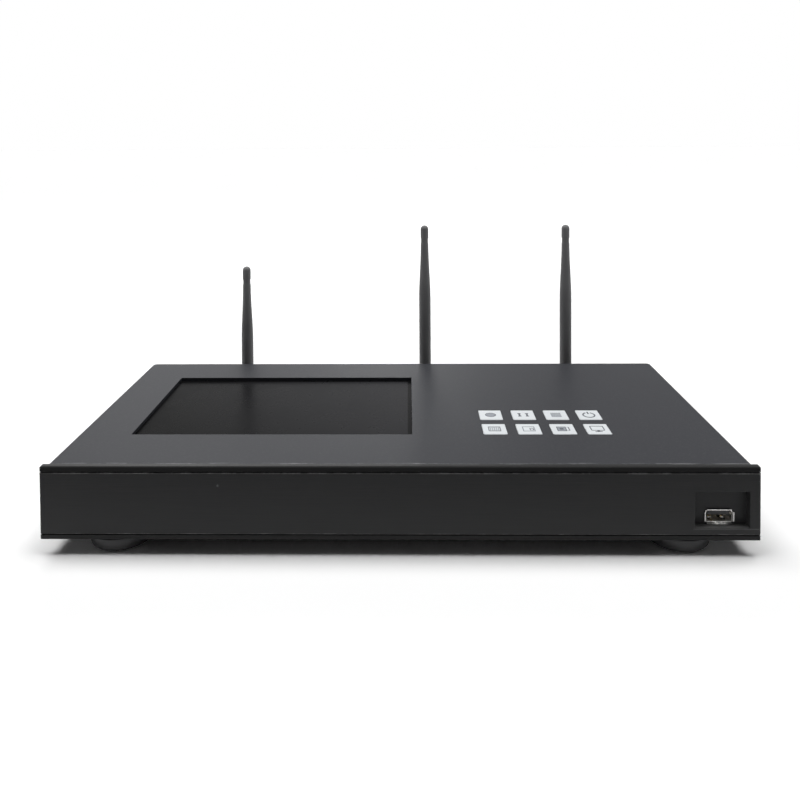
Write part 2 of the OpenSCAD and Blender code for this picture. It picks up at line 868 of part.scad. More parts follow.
// Flat cable from the screen module's edge down to the main board
module screen_ribbon() {
  out = ribbon_x + ribbon_out;
  end = out + ribbon_end;
  top = module_z + module_t / 2;
  low = board_top + connector_h;
  color(ribbon_orange) from_front() translate([0, ribbon_y + ribbon_w / 2, 0]) rotate([90, 0, 0]) {
    linear_extrude(ribbon_w) polygon([
      [ribbon_x, top], [out, top], [out, low + ribbon_t], [end, low + ribbon_t], [end, low],
      [out - ribbon_t, low], [out - ribbon_t, top - ribbon_t], [ribbon_x, top - ribbon_t]
    ]);
  }
  color(plastic_black) from_front() translate([connector_x - connector_d, ribbon_y, board_top]) {
    translate([0, -ribbon_w / 2 - 1, 0]) cube([connector_d, ribbon_w + 2, connector_h]);
  }
}

/* ---- Keys ---- */

// Profile of a key from the side, bevelled at its top edge
module key_profile(h) {
  half = key_w / 2;
  polygon([[-half, 0], [-half, h - key_bevel], [key_bevel - half, h], [half - key_bevel, h],
    [half, h - key_bevel], [half, 0]]);
}

// One key: a bevelled cap, a flange that stays under the cover, and a stem to the switch
module key(column, row) {
  flange_top = cover_under - flange_gap;
  flange_z = flange_top - key_flange_t;
  cap_h = cover_top + key_rise - flange_top;
  stem_z = key_board_top + switch_h - 0.8;
  flange_w = key_w + 2 * key_flange;
  color(key_grey) from_front() at_key(column, row) {
    translate([0, 0, flange_top]) intersection() {
      plate(key_w, key_w, cap_h, key_r);
      translate([0, key_w, 0]) rotate([90, 0, 0]) linear_extrude(2 * key_w) key_profile(cap_h);
      translate([-key_w, 0, 0]) rotate([90, 0, 90]) linear_extrude(2 * key_w) key_profile(cap_h);
    }
    translate([0, 0, flange_z]) plate(flange_w, flange_w, key_flange_t, key_r);
    translate([0, 0, stem_z]) cylinder(r = stem_r, h = flange_z - stem_z);
    for (a = [0, 90]) rotate([0, 0, a]) {
      translate([-key_w / 2 + 1, -0.5, flange_z - 1]) cube([key_w - 2, 1, 1]);
    }
  }
}

module key_disc() {
  key(0, 1);
}

module key_pause() {
  key(1, 1);
}

module key_list() {
  key(2, 1);
}

module key_power() {
  key(3, 1);
}

module key_pad() {
  key(0, 0);
}

module key_layout() {
  key(1, 0);
}

module key_camera() {
  key(2, 0);
}

module key_monitor() {
  key(3, 0);
}

module key_board() {
  color(board_green) from_front() difference() {
    translate([key_x + key_field_w / 2, window_y + key_field_d / 2, key_board_top - board_t]) {
      plate(key_field_w + 2 * key_board_edge, key_field_d + 2 * key_board_edge, board_t, 2);
    }
    at_key_bosses() translate([0, 0, key_board_top - board_t - past]) {
      cylinder(r = hole_r, h = board_t + 2 * past);
    }
  }
}

// Push switches, each with a well that takes the end of a key's stem
module key_switches() {
  color(plastic_black) from_front() {
    for (column = [0:key_columns - 1], row = [0:key_rows - 1]) at_key(column, row) {
      translate([0, 0, key_board_top]) difference() {
        plate(switch_w, switch_w, switch_h, 0.5);
        translate([0, 0, switch_h - well_d]) cylinder(r = stem_r + slack, h = well_d + past);
      }
    }
  }
}

/* ---- USB socket ---- */

usb_spring_x = 3.2;
usb_spring_y = 4.5;
usb_spring_w = 2;
usb_spring_l = 4.5;
usb_corner = 0.5;
tongue_in = 1.6;
tongue_wide = 11.2;
tongue_thick = 1.8;
tongue_rise = 0.3;
contact_w = 1.1;
contact_t = 0.25;
contact_pitch = 2.5;

// Strip of the shell's front edge, bent outwards by out; its root lies at Z 0 on the shell's outer face
module usb_strip(l, out) {
  translate([-l / 2, 0, 0]) rotate([90, 0, 90]) linear_extrude(l) polygon([
    [0, out - usb_wall], [0, out], [usb_lip, 0], [usb_lip + 0.2, -0.05],
    [usb_lip + 0.2, 0.05 - usb_wall], [usb_lip, -usb_wall]
  ]);
}

module usb_shell() {
  in_w = usb_w - 2 * usb_wall;
  in_h = usb_h - 2 * usb_wall;
  color(bright) from_front() translate([usb_x, usb_y, usb_z]) {
    difference() {
      translate([0, usb_lip, 0]) upright(usb_w, usb_h, usb_l - usb_lip, usb_corner);
      translate([0, -past, 0]) upright(in_w, in_h, usb_l + past - usb_wall, usb_corner - 0.2);
      for (x = [-usb_spring_x, usb_spring_x], z = [-1, 1]) {
        translate([x, usb_spring_y, z * usb_h / 2 - 0.5]) block(usb_spring_w, usb_spring_l, 1);
      }
    }
    for (a = [0, 180]) rotate([0, a, 0]) {
      translate([0, 0, usb_h / 2]) usb_strip(usb_w - 2 * usb_corner, usb_flare_z);
    }
    for (a = [90, 270]) rotate([0, a, 0]) {
      translate([0, 0, usb_w / 2]) usb_strip(usb_h - 2 * usb_corner, usb_flare_x);
    }
  }
}

// Dark tongue with four contacts on its underside
module usb_tongue() {
  z = usb_z + usb_h / 2 - usb_wall - tongue_thick - tongue_rise;
  l = usb_l - tongue_in - usb_wall;
  color(plastic_black) from_front() translate([usb_x, usb_y + tongue_in, z]) {
    block(tongue_wide, l - 0.1, tongue_thick);
    for (i = [-1.5:1.5]) translate([i * contact_pitch, 1, -contact_t]) block(contact_w, l - 3, contact_t);
  }
}

usb_board_d = 24;
usb_post_edge = 3.4;
usb_post_x = usb_board_w / 2 - usb_post_edge;

module usb_board() {
  color(board_green) from_front() difference() {
    translate([usb_x, flange_y + usb_board_d / 2 + 0.3, usb_board_top - board_t]) {
      plate(usb_board_w, usb_board_d, board_t, 1);
    }
    at_usb_posts() translate([0, 0, usb_board_top - board_t - past]) {
      cylinder(r = hole_r, h = board_t + 2 * past);
    }
  }
}

// Places its children at the two posts of the USB board
module at_usb_posts() {
  for (x = [-1, 1]) {
    translate([usb_x + x * usb_post_x, flange_y + usb_board_d - usb_post_edge, 0]) children();
  }
}

/* ---- Main board ---- */

// Places its children at the main board's four corners
module at_board_posts() {
  for (x = [board_edge, board_w - board_edge], y = [board_edge, board_d - board_post_back]) {
    translate([board_x + x, board_y + y, 0]) children();
  }
}

module main_board() {
  color(board_green) from_front() difference() {
    translate([board_x + board_w / 2, board_y + board_d / 2, board_z]) plate(board_w, board_d, board_t, 1.5);
    at_board_posts() translate([0, 0, board_z - past]) cylinder(r = hole_r, h = board_t + 2 * past);
  }
}

sink_w = 38;
sink_h = 11;
sink_in = 42;
sink_y = board_y + sink_in;
sink_base = 2.2;
fin_t = 1.2;
fins = 9;
chip_w = 24;
chip_h = 1.4;
memory_d = 11;
memory_h = 1;
memory_pitch = 14;
card_w = 24;
card_d = 28;
card_t = 1;
card_edge = 6;
card_in = 46;
card_y = board_y + card_in;
shield_w = 20;
shield_h = 2;

module heat_sink() {
  color(steel_grey) from_front() translate([sink_x, sink_y - sink_w / 2, board_top + chip_h]) {
    block(sink_w, sink_w, sink_base);
    for (i = [0:fins - 1]) {
      translate([-sink_w / 2 + fin_t / 2 + i * (sink_w - fin_t) / (fins - 1), 0, sink_base - 0.01]) {
        block(fin_t, sink_w, sink_h - sink_base);
      }
    }
  }
}

// The processor under the heat sink and four memory chips beside it
module chips() {
  color(plastic_black) from_front() translate([0, 0, board_top]) {
    translate([sink_x, sink_y - chip_w / 2, 0]) block(chip_w, chip_w, chip_h);
    for (i = [-2:1]) translate([sink_x - memory_x, sink_y + i * memory_pitch, 0]) {
      block(memory_w, memory_d, memory_h);
    }
  }
}

module wireless_card() {
  color(bright) from_front() translate([board_right - card_edge - card_w / 2, card_y, board_top]) {
    block(card_w, card_d, card_t);
    translate([0, 3, card_t - 0.01]) block(shield_w, shield_w, shield_h);
    for (x = [-1, 0, 1]) translate([x * card_w / 4, card_d - 2.5, card_t - 0.01]) cylinder(r = 1.2, h = 1.2);
  }
}

module standoffs() {
  color(bright) from_front() {
    at_board_posts() standoff(board_z);
    at_usb_posts() standoff(usb_board_top - board_t);
  }
}

// Round post from the floor up to level z, drilled for its screw
module standoff(z) {
  translate([0, 0, floor_top]) difference() {
    cylinder(r = standoff_r, h = z - floor_top);
    translate([0, 0, hole_end]) cylinder(r = hole_r, h = z - floor_top);
  }
}

module board_screws() {
  color(steel_grey) from_front() {
    at_board_posts() translate([0, 0, board_top]) screw(board_top - floor_top - 2 * hole_end);
    at_usb_posts() translate([0, 0, usb_board_top]) screw(usb_board_top - floor_top - 2 * hole_end);
    at_key_bosses() translate([0, 0, key_board_top - board_t]) {
      mirror([0, 0, 1]) screw(board_t + key_hole - hole_end);
    }
  }
}

/* ---- Rear sockets ---- */

module power_socket() {
  color(plastic_black) from_front() translate([power_x, socket_out - power_l, board_top]) {
    difference() {
      block(power_w, power_l, power_h);
      translate([0, power_l - power_bore_l, power_h / 2]) rod_y(power_bore_r, power_bore_l + past);
    }
    translate([0, power_l - power_bore_l - 0.5, power_h / 2]) rod_y(1, power_bore_l - 0.5);
  }
}

module network_socket() {
  color(bright) from_front() translate([network_x, socket_out - network_l, board_top]) difference() {
    block(network_w, network_l, network_h);
    translate([0, network_l - port_l, port_z]) {
      block(port_w, port_l + past, port_h);
      translate([0, 0, -port_key_h]) block(port_key_w, port_l + past, port_key_h + 0.1);
    }
  }
}

// Outline of a video plug's mouth, narrower at its foot
module video_mouth(w, h) {
  polygon([[-w / 2, h / 2], [w / 2, h / 2], [w / 2, -h * 0.1], [w / 2 - 1.9, -h / 2],
    [1.9 - w / 2, -h / 2], [-w / 2, -h * 0.1]]);
}

module video_sockets() {
  color(bright) from_front() for (x = video_xs) {
    translate([x, socket_out, board_top + video_h / 2]) {
      difference() {
        translate([0, -video_l, -video_h / 2]) block(video_w, video_l, video_h);
        rotate([90, 0, 0]) translate([0, 0, -past]) linear_extrude(video_mouth_l + past) {
          video_mouth(video_mouth_w, video_mouth_h);
        }
      }
      translate([0, -video_mouth_l - 0.01, 0.1]) block(video_mouth_w - 3.6, video_mouth_l - 1.4, 1.2);
    }
  }
}

module audio_sockets() {
  color(plastic_black) from_front() for (x = audio_xs) {
    translate([x, socket_out, board_top + audio_h / 2]) difference() {
      union() {
        translate([0, -audio_l - sheet_t - 0.6, -audio_h / 2]) block(audio_w, audio_l, audio_h);
        translate([0, -audio_l, 0]) rod_y(audio_nose_r, audio_l);
      }
      translate([0, -audio_l, 0]) rod_y(audio_bore_r, audio_l + past);
    }
  }
}

/* ---- Fan ---- */

// Places its children on the axes of the fan's four screws
module at_fan_screws() {
  for (x = [-1, 1], z = [-1, 1]) translate([fan_x + x * fan_hole, 0, fan_z + z * fan_hole]) children();
}

module fan_frame() {
  color(plastic_black) from_front() difference() {
    union() {
      translate([fan_x, fan_y, fan_z]) difference() {
        upright(fan_w, fan_w, fan_t, 2);
        translate([0, -past, 0]) rod_y(fan_bore_r, fan_t + 2 * past);
      }
      translate([fan_x, fan_y, fan_z]) {
        for (a = [0:90:270]) rotate([0, a + 45, 0]) translate([0, 0, -0.9]) {
          cube([fan_bore_r + 0.6, strut_t, 1.8]);
        }
        rod_y(stator_r, fan_t - 3.4);
      }
    }
    translate([fan_x, fan_y + strut_t - 0.6, fan_z]) rod_y(0.9 + turn_gap, fan_t);
    at_fan_screws() translate([0, back_in - fan_hole_l, 0]) rod_y(hole_r, fan_hole_l + past);
  }
}

// Cup with pitched blades and the shaft that turns in the stator
module fan_rotor() {
  cup_y = fan_y + strut_t + 0.5;
  cup_l = fan_t - strut_t - 1.1;
  shaft_l = cup_l - 0.4;
  color(rubber_black) from_front() translate([fan_x, cup_y, fan_z]) {
    difference() {
      rod_y(fan_hub_r, cup_l);
      translate([0, -past, 0]) rod_y(stator_r + 0.4, fan_t - 3 - strut_t - 0.5 + past);
    }
    translate([0, cup_l - shaft_l, 0]) rod_y(0.9, shaft_l - 0.3);
    intersection() {
      for (i = [0:blades - 1]) rotate([0, i * 360 / blades, 0]) {
        translate([0, cup_l / 2, 0]) blade(cup_l);
      }
      difference() {
        translate([0, 0.2, 0]) rod_y(fan_bore_r - 0.6, cup_l - 0.4);
        translate([0, -past, 0]) rod_y(fan_hub_r - 0.4, cup_l + 2 * past);
      }
    }
  }
}

// One flat blade along X, pitched about its own length
module blade(l) {
  translate([fan_hub_r - 0.6, 0, 0]) rotate([40, 0, 0]) {
    translate([0, -l, -0.45]) cube([fan_bore_r - fan_hub_r + 1, 2 * l, 0.9]);
  }
}

module fan_screws() {
  color(steel_grey) from_front() at_fan_screws() {
    translate([0, back_out, 0]) rotate([-90, 0, 0]) screw(sheet_t + fan_hole_l - hole_end);
  }
}

/* ---- Drive cage ---- */

cage_slot_pitch = 9;
cage_slots = 8;
cage_slot_d = 4;
cage_slot_in = 18;
cage_slot_edge = 8;
cage_window_l = 14;
cage_window_h = 5;
cage_window_ys = [24, cage_l / 2 + 4];
cage_screw_front = 12;
cage_screw_back = 24;

// Places its children at the cage's four feet screws
module at_cage_screws() {
  for (x = [-1, 1], y = [cage_screw_front, cage_l - cage_screw_back]) {
    translate([tray_x + x * (cage_w / 2 + cage_foot / 2), cage_y + y, 0]) children();
  }
}

module cage_section() {
  half = cage_w / 2;
  inner = cage_in_w / 2;
  polygon([
    [-half - cage_foot, floor_top], [-half - cage_foot, floor_top + thin_t],
    [-half, floor_top + thin_t], [-half, cage_top], [half, cage_top], [half, floor_top + thin_t],
    [half + cage_foot, floor_top + thin_t], [half + cage_foot, floor_top], [inner, floor_top],
    [inner, cage_in_z], [-inner, cage_in_z], [-inner, floor_top]
  ]);
}

module drive_cage() {
  color(steel_grey) from_front() difference() {
    translate([tray_x, cage_y + cage_l, 0]) rotate([90, 0, 0]) linear_extrude(cage_l) cage_section();
    for (i = [0:cage_slots - 1]) {
      translate([tray_x, cage_y + cage_slot_in + i * cage_slot_pitch, cage_in_z - past]) {
        plate(cage_in_w - 2 * cage_slot_edge, cage_slot_d, thin_t + 2 * past, cage_slot_d / 2 - 0.1);
      }
    }
    for (y = cage_window_ys) translate([tray_x - cage_w / 2 - past, cage_y + y, drive_z + drive_h / 2 + 1]) {
      sideways(cage_window_l, cage_window_h, cage_w + 2 * past, cage_window_h / 2 - 0.1);
    }
    at_cage_screws() translate([0, 0, floor_top - past]) cylinder(r = hole_r, h = thin_t + 2 * past);
  }
}

// Two low rails that the tray runs on
module tray_rails() {
  color(rail_plastic) from_front() for (side = [-1, 1]) {
    x = tray_x + side * (cage_in_w / 2 - rail_w / 2);
    translate([x, cage_y + 2, floor_top]) block(rail_w, cage_l - 4, rail_h);
  }
}

// Small board across the cage with the socket that the drive's plug enters
module drive_socket() {
  back = drive_y - socket_gap;
  slot = plug_h + 2 * slack;
  color(plastic_black) from_front() translate([tray_x, 0, drive_z]) {
    difference() {
      translate([0, back - socket_t, socket_rise]) block(socket_w, socket_t, socket_h);
      translate([0, back - plug_l - hole_end, plug_rise - slack]) {
        block(plug_w + 2 * slack, plug_l + 2, slot);
      }
    }
    translate([0, back - socket_t - board_t, -rail_h - tray_t]) {
      block(cage_in_w - 2 * fit, board_t + 0.01, drive_h + rail_h + tray_t + 1);
    }
  }
}

module cage_screws() {
  color(steel_grey) from_front() at_cage_screws() {
    translate([0, 0, floor_top + thin_t]) screw(thin_t + sheet_t);
  }
}

/* ---- Drive tray ---- */

drive_hole_z = 3;
drive_hole_l = 4;
drive_hole_front = 14;
drive_hole_back = 9.6;
drive_hole_ys = [drive_hole_front, drive_l - drive_hole_back];
drive_screw_l = 3;
lid_t = 0.6;
lid_in = 1.5;
tray_back = 6;
tray_window_ys = [30, 62];
tray_window_d = 20;
tray_window_edge = 13;
tray_slot_l = 10;
tray_slot_h = 3;
tray_slot_ys = [44, 62];

module drive_tray() {
  end = face_y - face_plug - 0.1;
  len = end - (drive_y + tray_back);
  color(steel_grey) from_front() difference() {
    union() {
      translate([tray_x, drive_y + tray_back, tray_z]) difference() {
        block(tray_w, len, tray_t + tray_wall_h);
        translate([0, -past, tray_t]) block(tray_w - 2 * tray_t, len + 2 * past, tray_wall_h + past);
      }
      translate([tray_x, end - tray_t, tray_z]) block(tray_w, tray_t, tray_t + tray_wall_h);
    }
    for (y = tray_window_ys) translate([tray_x, drive_y + y, tray_z - past]) {
      plate(tray_w - 2 * tray_window_edge, tray_window_d, tray_t + 2 * past, 3);
    }
    for (y = drive_hole_ys) translate([tray_x, drive_y + y, drive_z + drive_hole_z]) {
      rod_x(hole_r, tray_w + 2 * past);
    }
    for (y = tray_slot_ys) translate([tray_x - tray_w / 2 - past, drive_y + y, drive_z + drive_h / 2 - 1]) {
      sideways(tray_slot_l, tray_slot_h, tray_w + 2 * past, tray_slot_h / 2 - 0.1);
    }
  }
}

ledge_w = 34;
ledge_t = 1.6;
ledge_drop = 2.5;
face_slot_w = 2;
face_slot_h = 6.6;
face_slot_pitch = 4.6;

// Moulded face with air slots, a pull ledge and a wing for the thumbscrew
module tray_face() {
  mid_z = mouth_z + mouth_h / 2;
  color(plastic_black) from_front() difference() {
    union() {
      translate([face_left + face_w / 2, face_y, face_z + face_h / 2]) upright(face_w, face_h, face_t, 1.2);
      translate([tray_x, face_y - face_plug, mid_z]) {
        upright(mouth_w - 4 * slack, mouth_h - 4 * slack, face_plug + 0.1, 0.6);
      }
      translate([tray_x, face_y + face_t - 0.01, face_z + face_h - ledge_drop]) {
        linear_extrude(ledge_t) pull_plan(ledge_w);
      }
    }
    for (i = [-6:6]) translate([tray_x + i * face_slot_pitch, face_y - face_plug - past, mid_z - 2.2]) {
      upright(face_slot_w, face_slot_h, face_plug + face_t + 2 * past, face_slot_w / 2 - 0.05);
    }
    translate([thumb_x, face_y - past, thumb_z]) rod_y(thumb_pin_r + turn_gap, face_t + 2 * past);
  }
}

// Plan of the pull ledge, with round outer corners
module pull_plan(w) {
  reach = 4;
  r = 2;
  translate([-w / 2, 0]) square([w, reach - r]);
  translate([-w / 2 + r, 0]) square([w - 2 * r, reach]);
  for (x = [-1, 1]) translate([x * (w / 2 - r), reach - r]) circle(r);
}

module hard_drive() {
  color(steel_grey) from_front() translate([tray_x, drive_y, drive_z]) difference() {
    union() {
      translate([0, drive_l / 2, 0]) plate(drive_w, drive_l, drive_h - lid_t, 2.5);
      translate([0, drive_l / 2 + 2, drive_h - lid_t - 0.01]) {
        plate(drive_w - 2 * lid_in, drive_l - 6 * lid_in, lid_t + 0.01, 2);
      }
      translate([0, -plug_l, plug_rise]) block(plug_w, plug_l + 1, plug_h);
    }
    for (y = drive_hole_ys, x = [-1, 1]) {
      translate([x * drive_w / 2, y, drive_hole_z]) rod_x(hole_r, 2 * drive_hole_l);
    }
  }
}

// Screws through the tray's sides into the drive
module drive_screws() {
  color(bright) from_front() for (y = drive_hole_ys, side = [0, 1]) {
    translate([tray_x, drive_y + y, drive_z + drive_hole_z]) mirror([side, 0, 0]) {
      translate([-tray_w / 2 + tray_t, 0, 0]) rod_x_from(screw_r, -tray_t, drive_screw_l);
    }
  }
}

// Round bar along X from one place to another
module rod_x_from(r, from, to) {
  translate([from, 0, 0]) rotate([0, 90, 0]) cylinder(r = r, h = to - from);
}

// Knurled screw that locks the tray to the rear panel
module thumbscrew() {
  notches = 20;
  color(bright) from_front() translate([thumb_x, 0, thumb_z]) {
    translate([0, back_in - 2.5, 0]) rod_y(thumb_pin_r, face_y + face_t + 0.2 - back_in + 2.6);
    translate([0, face_y + face_t + 0.1, 0]) difference() {
      rotate([-90, 0, 0]) rotate_extrude() polygon([
        [0, 0], [thumb_r - 0.5, 0], [thumb_r, 0.5], [thumb_r, thumb_l - 0.6],
        [thumb_r - 0.6, thumb_l], [0, thumb_l]
      ]);
      for (i = [0:notches - 1]) rotate([0, i * 360 / notches, 0]) {
        translate([thumb_r, -past, 0]) rod_y(0.3, thumb_l + 2 * past);
      }
      translate([-thumb_r, thumb_l - 1, -0.4]) cube([2 * thumb_r, 1 + past, 0.8]);
    }
  }
}

/* ---- Antennas ---- */

module antenna_jacks() {
  color(brass) from_front() for (x = antenna_xs) translate([x, back_in, antenna_z]) {
    translate([0, -nut_t, 0]) rotate([-90, 0, 0]) cylinder(r = nut_r, h = nut_t, $fn = 6);
    translate([0, -jack_l, 0]) rod_y(jack_r, jack_l - nut_t);
    rod_y(thread_r, sheet_t + thread_out);
  }
}

module antenna_nuts() {
  color(brass) from_front() for (x = antenna_xs) translate([x, back_out, antenna_z]) difference() {
    rotate([-90, 0, 0]) cylinder(r = nut_r, h = nut_t, $fn = 6);
    translate([0, -past, 0]) rod_y(thread_r + turn_gap, nut_t + 2 * past);
  }
}

// Knurled sleeve that turns on the jack, with a fork for the whip's hinge
module knuckle(x) {
  sleeve_l = hinge_y - ear_r - 1 - knuckle_y;
  bore_l = back_out + thread_out + 0.4 - knuckle_y;
  notches = 16;
  color(rubber_black) from_front() translate([x, 0, antenna_z]) difference() {
    union() {
      translate([0, knuckle_y, 0]) rotate([-90, 0, 0]) rotate_extrude() polygon([
        [0, 0], [knuckle_r - 0.4, 0], [knuckle_r, 0.4], [knuckle_r, sleeve_l * 0.62],
        [ear_r, sleeve_l * 0.75], [ear_r, sleeve_l + 1], [0, sleeve_l + 1]
      ]);
      intersection() {
        union() {
          translate([0, hinge_y, 0]) rod_x(ear_r, fork_w);
          translate([0, hinge_y - ear_r - 1, -ear_r]) block(fork_w, ear_r + 1, 2 * ear_r);
        }
        translate([0, knuckle_y, 0]) rod_y(sqrt(pow(fork_w / 2, 2) + pow(ear_r, 2)) - 0.9, total_d);
      }
    }
    translate([0, knuckle_y - past, 0]) rod_y(thread_r + turn_gap, bore_l + past);
    translate([0, hinge_y - ear_r - 0.3, -ear_r - past]) {
      block(tongue_w + 2 * tongue_gap, 2 * ear_r + 2, 2 * ear_r + 2 * past);
    }
    translate([0, hinge_y, 0]) rod_x(pin_r + screw_gap * 0.2, fork_w + 2);
    for (i = [0:notches - 1]) rotate([0, i * 360 / notches, 0]) {
      translate([knuckle_r, knuckle_y + 1.2, 0]) rod_y(0.3, sleeve_l * 0.62 - 2);
    }
  }
}

module knuckle_left() {
  knuckle(antenna_xs[0]);
}

module knuckle_middle() {
  knuckle(antenna_xs[1]);
}

module knuckle_right() {
  knuckle(antenna_xs[2]);
}

module hinge_pin(x) {
  color(bright) from_front() translate([x, hinge_y, antenna_z]) rod_x(pin_r, fork_w - 0.4);
}

module hinge_pin_left() {
  hinge_pin(antenna_xs[0]);
}

module hinge_pin_middle() {
  hinge_pin(antenna_xs[1]);
}

module hinge_pin_right() {
  hinge_pin(antenna_xs[2]);
}

// Steps of the curves along a whip
steps = 8;
tip_cap = 9.6;
tip_band = 3.1;
taper_from = 14;
taper_to = 56;

// Smooth change from 0 to 1
function ease(t) = t * t * (3 - 2 * t);

// One rubber whip: a tongue round the hinge pin, a thick foot, a smooth taper, a band and a round tip
module whip(x, l) {
  r = whip_d / 2;
  tip = tip_d / 2;
  taper = [for (i = [0:steps]) [
    r + (tip - 0.05 - r) * ease(i / steps),
    l - taper_to + (taper_to - taper_from) * i / steps
  ]];
  dome = [for (i = [0:steps]) [tip * cos(90 * i / steps), l - tip + tip * sin(90 * i / steps)]];
  color(rubber_black) from_front() translate([x, hinge_y, antenna_z]) {
    rotate_extrude() polygon(concat(
      [[0, whip_base], [r - 0.3, whip_base], [r, whip_base + 0.3]],
      taper,
      [[tip * 0.9, l - tip_cap - tip_band], [tip * 0.9, l - tip_cap], [tip, l - tip_cap + 0.1]],
      dome
    ));
    difference() {
      union() {
        rod_x(ear_r - 0.25, tongue_w);
        translate([-tongue_w / 2, -ear_r + 0.25, 0]) cube([tongue_w, 2 * ear_r - 0.5, whip_base + 1]);
      }
      rod_x(pin_r + turn_gap, tongue_w + 2);
    }
  }
}

module whip_left() {
  whip(antenna_xs[0], short_whip);
}

module whip_middle() {
  whip(antenna_xs[1], long_whip);
}

module whip_right() {
  whip(antenna_xs[2], long_whip);
}

/* ---- Screws of the case ---- */

case_screw_l = cover_wall + fit + sheet_t + screw_end;

module case_screws() {
  color(plastic_black) from_front() {
    for (side = [0, 1], y = side_screw_ys) mirror([side, 0, 0]) {
      translate([cover_w / 2, y, side_screw_z]) rotate([0, 90, 0]) screw(case_screw_l);
    }
    for (x = lip_screw_xs) translate([x, rear_y, lip_screw_z]) rotate([-90, 0, 0]) screw(case_screw_l);
    for (x = back_screw_xs) translate([x, back_in - back_flange_d / 2, floor_z]) {
      mirror([0, 0, 1]) screw(2 * sheet_t + screw_end);
    }
  }
}

module panel_screws() {
  color(steel_grey) from_front() for (x = panel_boss_xs) {
    translate([x, flange_y, panel_boss_z]) rotate([-90, 0, 0]) screw(sheet_t + fit + rim_d - 0.4);
  }
}

front_panel();
top_cover();
bottom_chassis();
rear_panel();
feet();
foot_pads();
foot_screws();
screen_glass();
screen_module();
screen_bracket();
screen_screws();
screen_ribbon();
key_disc();
key_pause();
key_list();
key_power();
key_pad();
key_layout();
key_camera();
key_monitor();
key_board();
key_switches();
usb_shell();
usb_tongue();
usb_board();
main_board();
heat_sink();
chips();
wireless_card();
standoffs();
board_screws();
power_socket();
network_socket();
video_sockets();
audio_sockets();
fan_frame();
fan_rotor();
fan_screws();
drive_cage();
tray_rails();
drive_socket();
cage_screws();
drive_tray();
tray_face();
hard_drive();
drive_screws();
thumbscrew();
antenna_jacks();
antenna_nuts();
knuckle_left();
knuckle_middle();
knuckle_right();
hinge_pin_left();
hinge_pin_middle();
hinge_pin_right();
whip_left();
whip_middle();
whip_right();
case_screws();
panel_screws();
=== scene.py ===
"""Media player with hard drive tray.

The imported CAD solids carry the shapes. This file gives each of them its finish, adds the printed signs,
contacts, springs, lamps, rings and small screws, and sets the stage. Lengths are in metres in the CAD frame:
X right, Y back, Z up.
"""

from math import cos, pi, radians, sin

import bmesh
import bpy
from bpy.props import FloatProperty, FloatVectorProperty, PointerProperty
from bpy.types import Operator, Panel, PropertyGroup
from mathutils import Matrix, Vector


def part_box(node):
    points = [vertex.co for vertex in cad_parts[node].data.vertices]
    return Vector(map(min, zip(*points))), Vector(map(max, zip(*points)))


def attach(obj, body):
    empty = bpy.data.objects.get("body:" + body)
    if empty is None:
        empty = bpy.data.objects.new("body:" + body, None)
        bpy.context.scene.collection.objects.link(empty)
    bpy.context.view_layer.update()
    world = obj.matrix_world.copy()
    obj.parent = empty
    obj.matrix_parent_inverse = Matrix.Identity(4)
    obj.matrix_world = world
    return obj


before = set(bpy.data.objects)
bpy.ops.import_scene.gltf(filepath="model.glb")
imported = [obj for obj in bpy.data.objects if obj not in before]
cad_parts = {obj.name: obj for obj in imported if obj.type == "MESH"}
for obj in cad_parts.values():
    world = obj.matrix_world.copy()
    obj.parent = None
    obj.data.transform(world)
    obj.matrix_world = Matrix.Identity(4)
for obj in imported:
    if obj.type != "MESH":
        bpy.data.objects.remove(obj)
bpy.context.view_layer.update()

bl_info = {
    "name": "Media player with hard drive tray",
    "version": (1, 0, 0),
    "blender": (4, 5, 0),
    "location": "3D View > Sidebar > Player",
    "description": "Finishes and small parts of a desktop media player, around its packed CAD solids",
    "category": "Object",
}

MM = 0.001


# ---------------- sizes and colours to change


def length(name, description, default):
    """One length in metres."""
    return FloatProperty(name=name, description=description, default=default, min=0.0, max=0.1,
                         unit="LENGTH")


def colour(name, description, default):
    """One linear colour."""
    return FloatVectorProperty(name=name, description=description, default=default, min=0.0, max=1.0,
                               size=3, subtype="COLOR")


def share(name, description, default, high=1.0):
    """One share or strength without a unit."""
    return FloatProperty(name=name, description=description, default=default, min=0.0, max=high)


class PlayerSizes(PropertyGroup):
    """Sizes of the pieces that are added to the CAD solids."""
    key_face: length("Key face", "Width and depth of a key's top", 13.3 * MM)
    print_thickness: length("Print thickness", "Height of the printed signs above a key", 0.05 * MM)
    print_line: length("Print line", "Width of the lines in the printed signs", 0.85 * MM)
    contact_thickness: length("Contact thickness", "Thickness of the gold contacts", 0.15 * MM)
    lens: length("Status light", "Width of the status light in the front panel", 1.2 * MM)
    foot_ring: length("Foot ring", "Diameter of the soft ring round each foot", 35.4 * MM)


